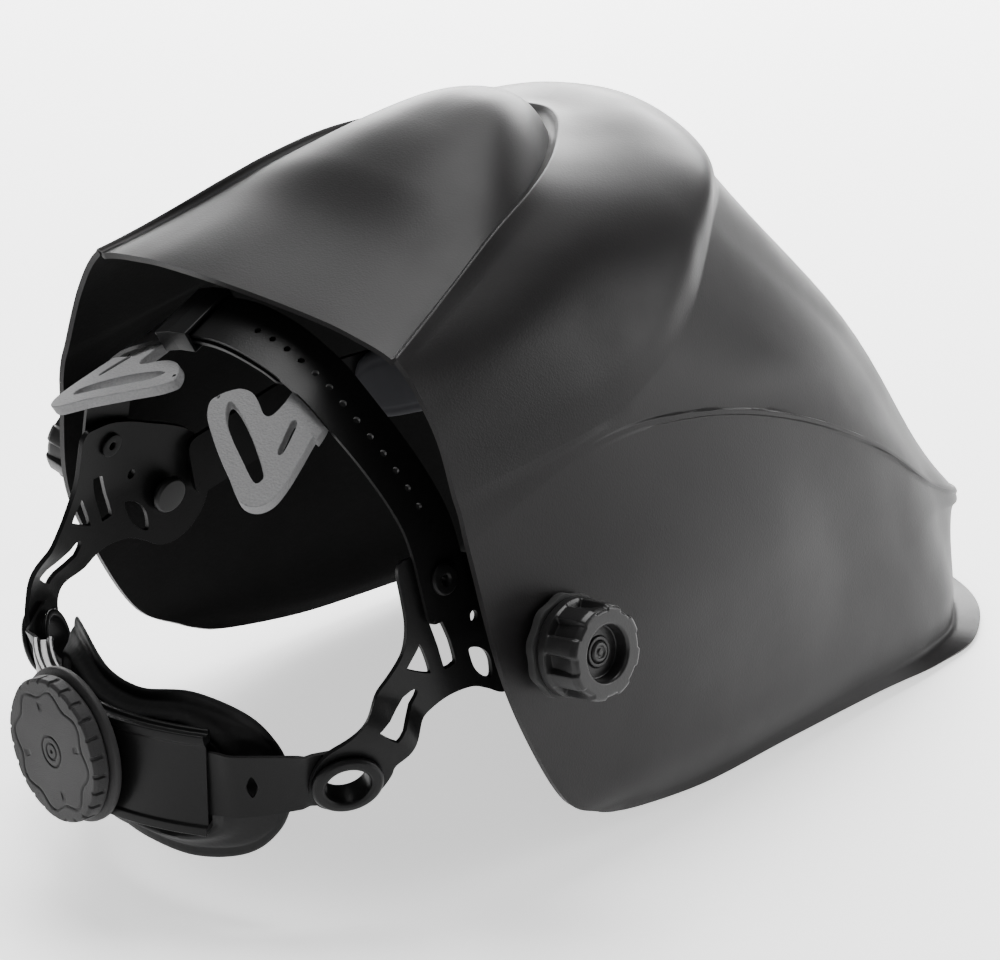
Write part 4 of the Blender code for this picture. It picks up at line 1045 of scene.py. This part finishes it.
def build_front(context):
    """Front band from side to side and the soft forehead pad: a rounded oblong section
    carried along the band, its ends closed, with a seam along both edges."""
    sizes = context.scene.helmet_sizes
    half = np.array(front_line, float)
    line = np.vstack([half, half[-2::-1] * [*mirror, 1]])
    path = strap_path(at(line[:, :3]), upright(line[:, 3]), 10)
    band = sheet("brow_band", strap_outline(path[0][-1], 12.5, 6.0), [], 4.0,
                 on_path(path, sizes.band_thickness))
    settle(bevel(band, 0.0005, 2, 50), "front_band")
    part = line[4:len(line) - 4]
    path = strap_path(at(part[:, :3]), upright(part[:, 3]), 16)
    share = crowded(121)
    pos, wide, out = (v[:, None] for v in along_path(path, (share + 1) / 2 * path[0][-1]))
    turn = np.linspace(0, 2 * pi, 64, endpoint=False)[None, :]
    across = np.sign(np.cos(turn)) * abs(np.cos(turn)) ** 0.75
    depth = np.sign(np.sin(turn)) * abs(np.sin(turn)) ** 0.75
    close = ((1 - share ** 20) ** 0.5)[:, None]
    seam = 1 - 0.16 * np.exp(-((abs(across) - 0.72) / 0.05) ** 2)
    puff = 1 + 0.03 * np.cos(share * 60)[:, None] * (1 - across ** 2)
    half_tall, thick = 15.5, sizes.cushion_thickness / mm * 0.35
    flat = pos - out * (sizes.band_thickness / 2 + thick * mm + slack)
    points = flat + wide * (across * close * half_tall * mm)[..., None] \
        + out * (depth * close * seam * np.minimum(puff, 1) * thick * mm)[..., None]
    pad = from_grids("brow_cushion", [(points, False, True)], 60)
    settle(pad, "forehead_pad", "foam")


# ---------------------------------------------------------------- stage

def soft_box(name, spot, target, size, power):
    """Square area light that looks at a point."""
    light = bpy.data.lights.new(name, "AREA")
    light.shape = "RECTANGLE"
    light.size, light.size_y = size
    light.energy = power
    obj = bpy.data.objects.new(name, light)
    bpy.context.scene.collection.objects.link(obj)
    obj.location = spot
    obj.rotation_euler = (Vector(target) - Vector(spot)).to_track_quat("-Z", "Y").to_euler()
    return obj


def build_stage(context):
    """Stage: pale floor, soft light from behind and above, and the camera."""
    scene = context.scene
    colour = scene.helmet_colours.floor
    mesh = bpy.data.meshes.new("floor")
    wide, below = 6.0, -2e-4
    mesh.from_pydata([(-wide, -wide, below), (wide, -wide, below), (wide, wide, below),
                      (-wide, wide, below)], [], [(0, 1, 2, 3)])
    floor = bpy.data.objects.new("floor", mesh)
    scene.collection.objects.link(floor)
    mat = bpy.data.materials.new("floor_paper")
    mat.use_nodes = True
    bsdf = mat.node_tree.nodes["Principled BSDF"]
    bsdf.inputs["Base Color"].default_value = (*colour, 1)
    bsdf.inputs["Roughness"].default_value = 0.9
    bsdf.inputs["Specular IOR Level"].default_value = 0.0
    bsdf.inputs["Emission Color"].default_value = (1, 1, 1, 1)
    bsdf.inputs["Emission Strength"].default_value = 1.0
    mesh.materials.append(mat)
    floor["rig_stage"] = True
    world = bpy.data.worlds.new("studio")
    world.use_nodes = True
    sky = world.node_tree.nodes["Background"]
    sky.inputs["Color"].default_value = (1, 1, 1, 1)
    sky.inputs["Strength"].default_value = 0.18
    scene.world = world
    soft_box("light_top", (0.3, -0.3, 1.9), (0, 0, 0.1), (1.2, 1.2), 62)
    soft_box("light_far", (1.3, -1.7, 0.9), (0, 0, 0.15), (2.0, 1.0), 195)
    soft_box("light_front", (-1.5, -1.5, 0.8), (0, 0, 0.12), (0.9, 1.2), 40)
    soft_box("light_camera", (-0.8, 1.7, 1.7), (0, 0, 0.1), (1.2, 0.8), 5)
    camera = bpy.data.cameras.new("camera")
    camera.lens = 147.24
    camera.sensor_width = 36
    camera.clip_start, camera.clip_end = 0.05, 40
    obj = bpy.data.objects.new("camera", camera)
    scene.collection.objects.link(obj)
    back = unit(np.array([-0.634, 0.661, 0.402]))
    obj.location = datum + back * 1.604
    obj.rotation_euler = (-Vector(back)).to_track_quat("-Z", "Y").to_euler()
    scene.camera = obj


# ---------------------------------------------------------------- add-on

def length(name, description, default):
    """A size of the helmet, in metres."""
    return bpy.props.FloatProperty(name=name, description=description, default=default,
                                   min=0.0001, precision=4, unit="LENGTH")


def colour(name, description, default):
    """A colour of the helmet."""
    return bpy.props.FloatVectorProperty(name=name, description=description, default=default,
                                         size=3, min=0, max=1, subtype="COLOR")


class HelmetSizes(bpy.types.PropertyGroup):
    """Sizes a user may change."""
    shell_wall: length("Shell wall", "Thickness of the shell", 0.0025)
    window_wall: length("Window frame wall", "Thickness of the flange round the window", 0.0022)
    rim_rounding: length("Rim rounding", "Radius along the rims of the shell", 0.0008)
    knob_diameter: length("Knob diameter", "Diameter of the side knobs", 0.0365)
    knob_height: length("Knob height", "Height of the side knobs", 0.0185)
    bolt_diameter: length("Bolt diameter", "Diameter of the bolts the shell tilts on", 0.008)
    ratchet_diameter: length("Ratchet diameter", "Diameter of the knob at the back", 0.0548)
    ratchet_thickness: length("Ratchet thickness", "Thickness of the knob at the back", 0.0066)
    band_thickness: length("Band thickness", "Thickness of the side plates and front band", 0.002)
    strap_thickness: length("Strap thickness", "Thickness of the straps", 0.0014)
    strap_width: length("Strap width", "Width of the rear straps", 0.026)
    cushion_thickness: length("Cushion thickness", "Thickness of the neck cushion", 0.012)
    pad_thickness: length("Pad thickness", "Thickness of the crown pads", 0.0045)


class HelmetColours(bpy.types.PropertyGroup):
    """Colours a user may change."""
    shell: colour("Shell", "Outside of the shell", (0.0068, 0.0064, 0.0066))
    # lining: black plastic painted darker than the shell's outside, as painted shade inside the
    # helmet
    lining: colour("Lining", "Inside of the shell", (0.004, 0.004, 0.004))
    gear: colour("Headgear", "Plates, straps and knobs", (0.0045, 0.0045, 0.0046))
    knob: colour("Side knobs", "Fluted knobs at the sides", (0.009, 0.0088, 0.009))
    ratchet: colour("Ratchet", "Knob at the back and its skirt", (0.021, 0.0206, 0.021))
    rubber: colour("Rubber", "Washers under the side knobs", (0.004, 0.004, 0.004))
    steel: colour("Steel", "Bolts", (0.02, 0.02, 0.02))
    cushion: colour("Cushion", "Neck cushion and forehead pad", (0.006, 0.006, 0.0062))
    pad: colour("Pads", "Crown pads", (0.15, 0.15, 0.152))
    lens: colour("Lens", "Filter lens", (0.0015, 0.006, 0.004))
    floor: colour("Floor", "Floor under the helmet", (0.92, 0.92, 0.92))


class HELMET_OT_shell(bpy.types.Operator):
    """Build the shell"""
    bl_idname = "helmet.shell"
    bl_label = "Shell"

    def execute(self, context):
        build_shell(context)
        return {"FINISHED"}


class HELMET_OT_window(bpy.types.Operator):
    """Build the window frame and its lens"""
    bl_idname = "helmet.window"
    bl_label = "Window"

    def execute(self, context):
        build_window(context)
        return {"FINISHED"}


class HELMET_OT_knobs(bpy.types.Operator):
    """Build the bolts, spacers, washers and side knobs"""
    bl_idname = "helmet.knobs"
    bl_label = "Side knobs"

    def execute(self, context):
        build_knobs(context)
        return {"FINISHED"}


class HELMET_OT_plates(bpy.types.Operator):
    """Build the side plates, rivets and strap rings"""
    bl_idname = "helmet.plates"
    bl_label = "Side plates"

    def execute(self, context):
        build_plates(context)
        return {"FINISHED"}


class HELMET_OT_rear_straps(bpy.types.Operator):
    """Build the rear straps"""
    bl_idname = "helmet.rear_straps"
    bl_label = "Rear straps"

    def execute(self, context):
        build_rear_straps(context)
        return {"FINISHED"}


class HELMET_OT_ratchet(bpy.types.Operator):
    """Build the strap housing, skirt and ratchet knob"""
    bl_idname = "helmet.ratchet"
    bl_label = "Ratchet"

    def execute(self, context):
        build_ratchet(context)
        return {"FINISHED"}


class HELMET_OT_cushion(bpy.types.Operator):
    """Build the neck cushion"""
    bl_idname = "helmet.cushion"
    bl_label = "Neck cushion"

    def execute(self, context):
        build_cushion(context)
        return {"FINISHED"}


class HELMET_OT_crown(bpy.types.Operator):
    """Build the crown straps, keeper and pads"""
    bl_idname = "helmet.crown"
    bl_label = "Crown straps"

    def execute(self, context):
        build_crown(context)
        return {"FINISHED"}


class HELMET_OT_front(bpy.types.Operator):
    """Build the front band and forehead pad"""
    bl_idname = "helmet.front"
    bl_label = "Front band"

    def execute(self, context):
        build_front(context)
        return {"FINISHED"}


class HELMET_OT_stage(bpy.types.Operator):
    """Build the floor, lights and camera"""
    bl_idname = "helmet.stage"
    bl_label = "Stage"

    def execute(self, context):
        build_stage(context)
        return {"FINISHED"}


operators = (HELMET_OT_shell, HELMET_OT_window, HELMET_OT_knobs, HELMET_OT_plates,
             HELMET_OT_rear_straps, HELMET_OT_ratchet, HELMET_OT_cushion, HELMET_OT_crown,
             HELMET_OT_front, HELMET_OT_stage)


class HELMET_PT_panel(bpy.types.Panel):
    """Sidebar panel with the sizes, colours and builders"""
    bl_label = "Welding Helmet"
    bl_idname = "HELMET_PT_panel"
    bl_space_type = "VIEW_3D"
    bl_region_type = "UI"
    bl_category = "Helmet"

    def draw(self, context):
        for group in (context.scene.helmet_sizes, context.scene.helmet_colours):
            box = self.layout.box()
            for name in group.__annotations__:
                box.prop(group, name)
        for operator in operators:
            self.layout.operator(operator.bl_idname)


classes = (HelmetSizes, HelmetColours, *operators, HELMET_PT_panel)


def register():
    """Add the classes and the settings to the scene."""
    for cls in classes:
        bpy.utils.register_class(cls)
    bpy.types.Scene.helmet_sizes = bpy.props.PointerProperty(type=HelmetSizes)
    bpy.types.Scene.helmet_colours = bpy.props.PointerProperty(type=HelmetColours)


def unregister():
    """Take them away again."""
    del bpy.types.Scene.helmet_sizes
    del bpy.types.Scene.helmet_colours
    for cls in reversed(classes):
        bpy.utils.unregister_class(cls)


def main():
    """Build everything in order."""
    register()
    bpy.ops.helmet.shell()
    bpy.ops.helmet.window()
    bpy.ops.helmet.knobs()
    bpy.ops.helmet.plates()
    bpy.ops.helmet.rear_straps()
    bpy.ops.helmet.ratchet()
    bpy.ops.helmet.cushion()
    bpy.ops.helmet.crown()
    bpy.ops.helmet.front()
    bpy.ops.helmet.stage()


if __name__ == "__main__":
    main()
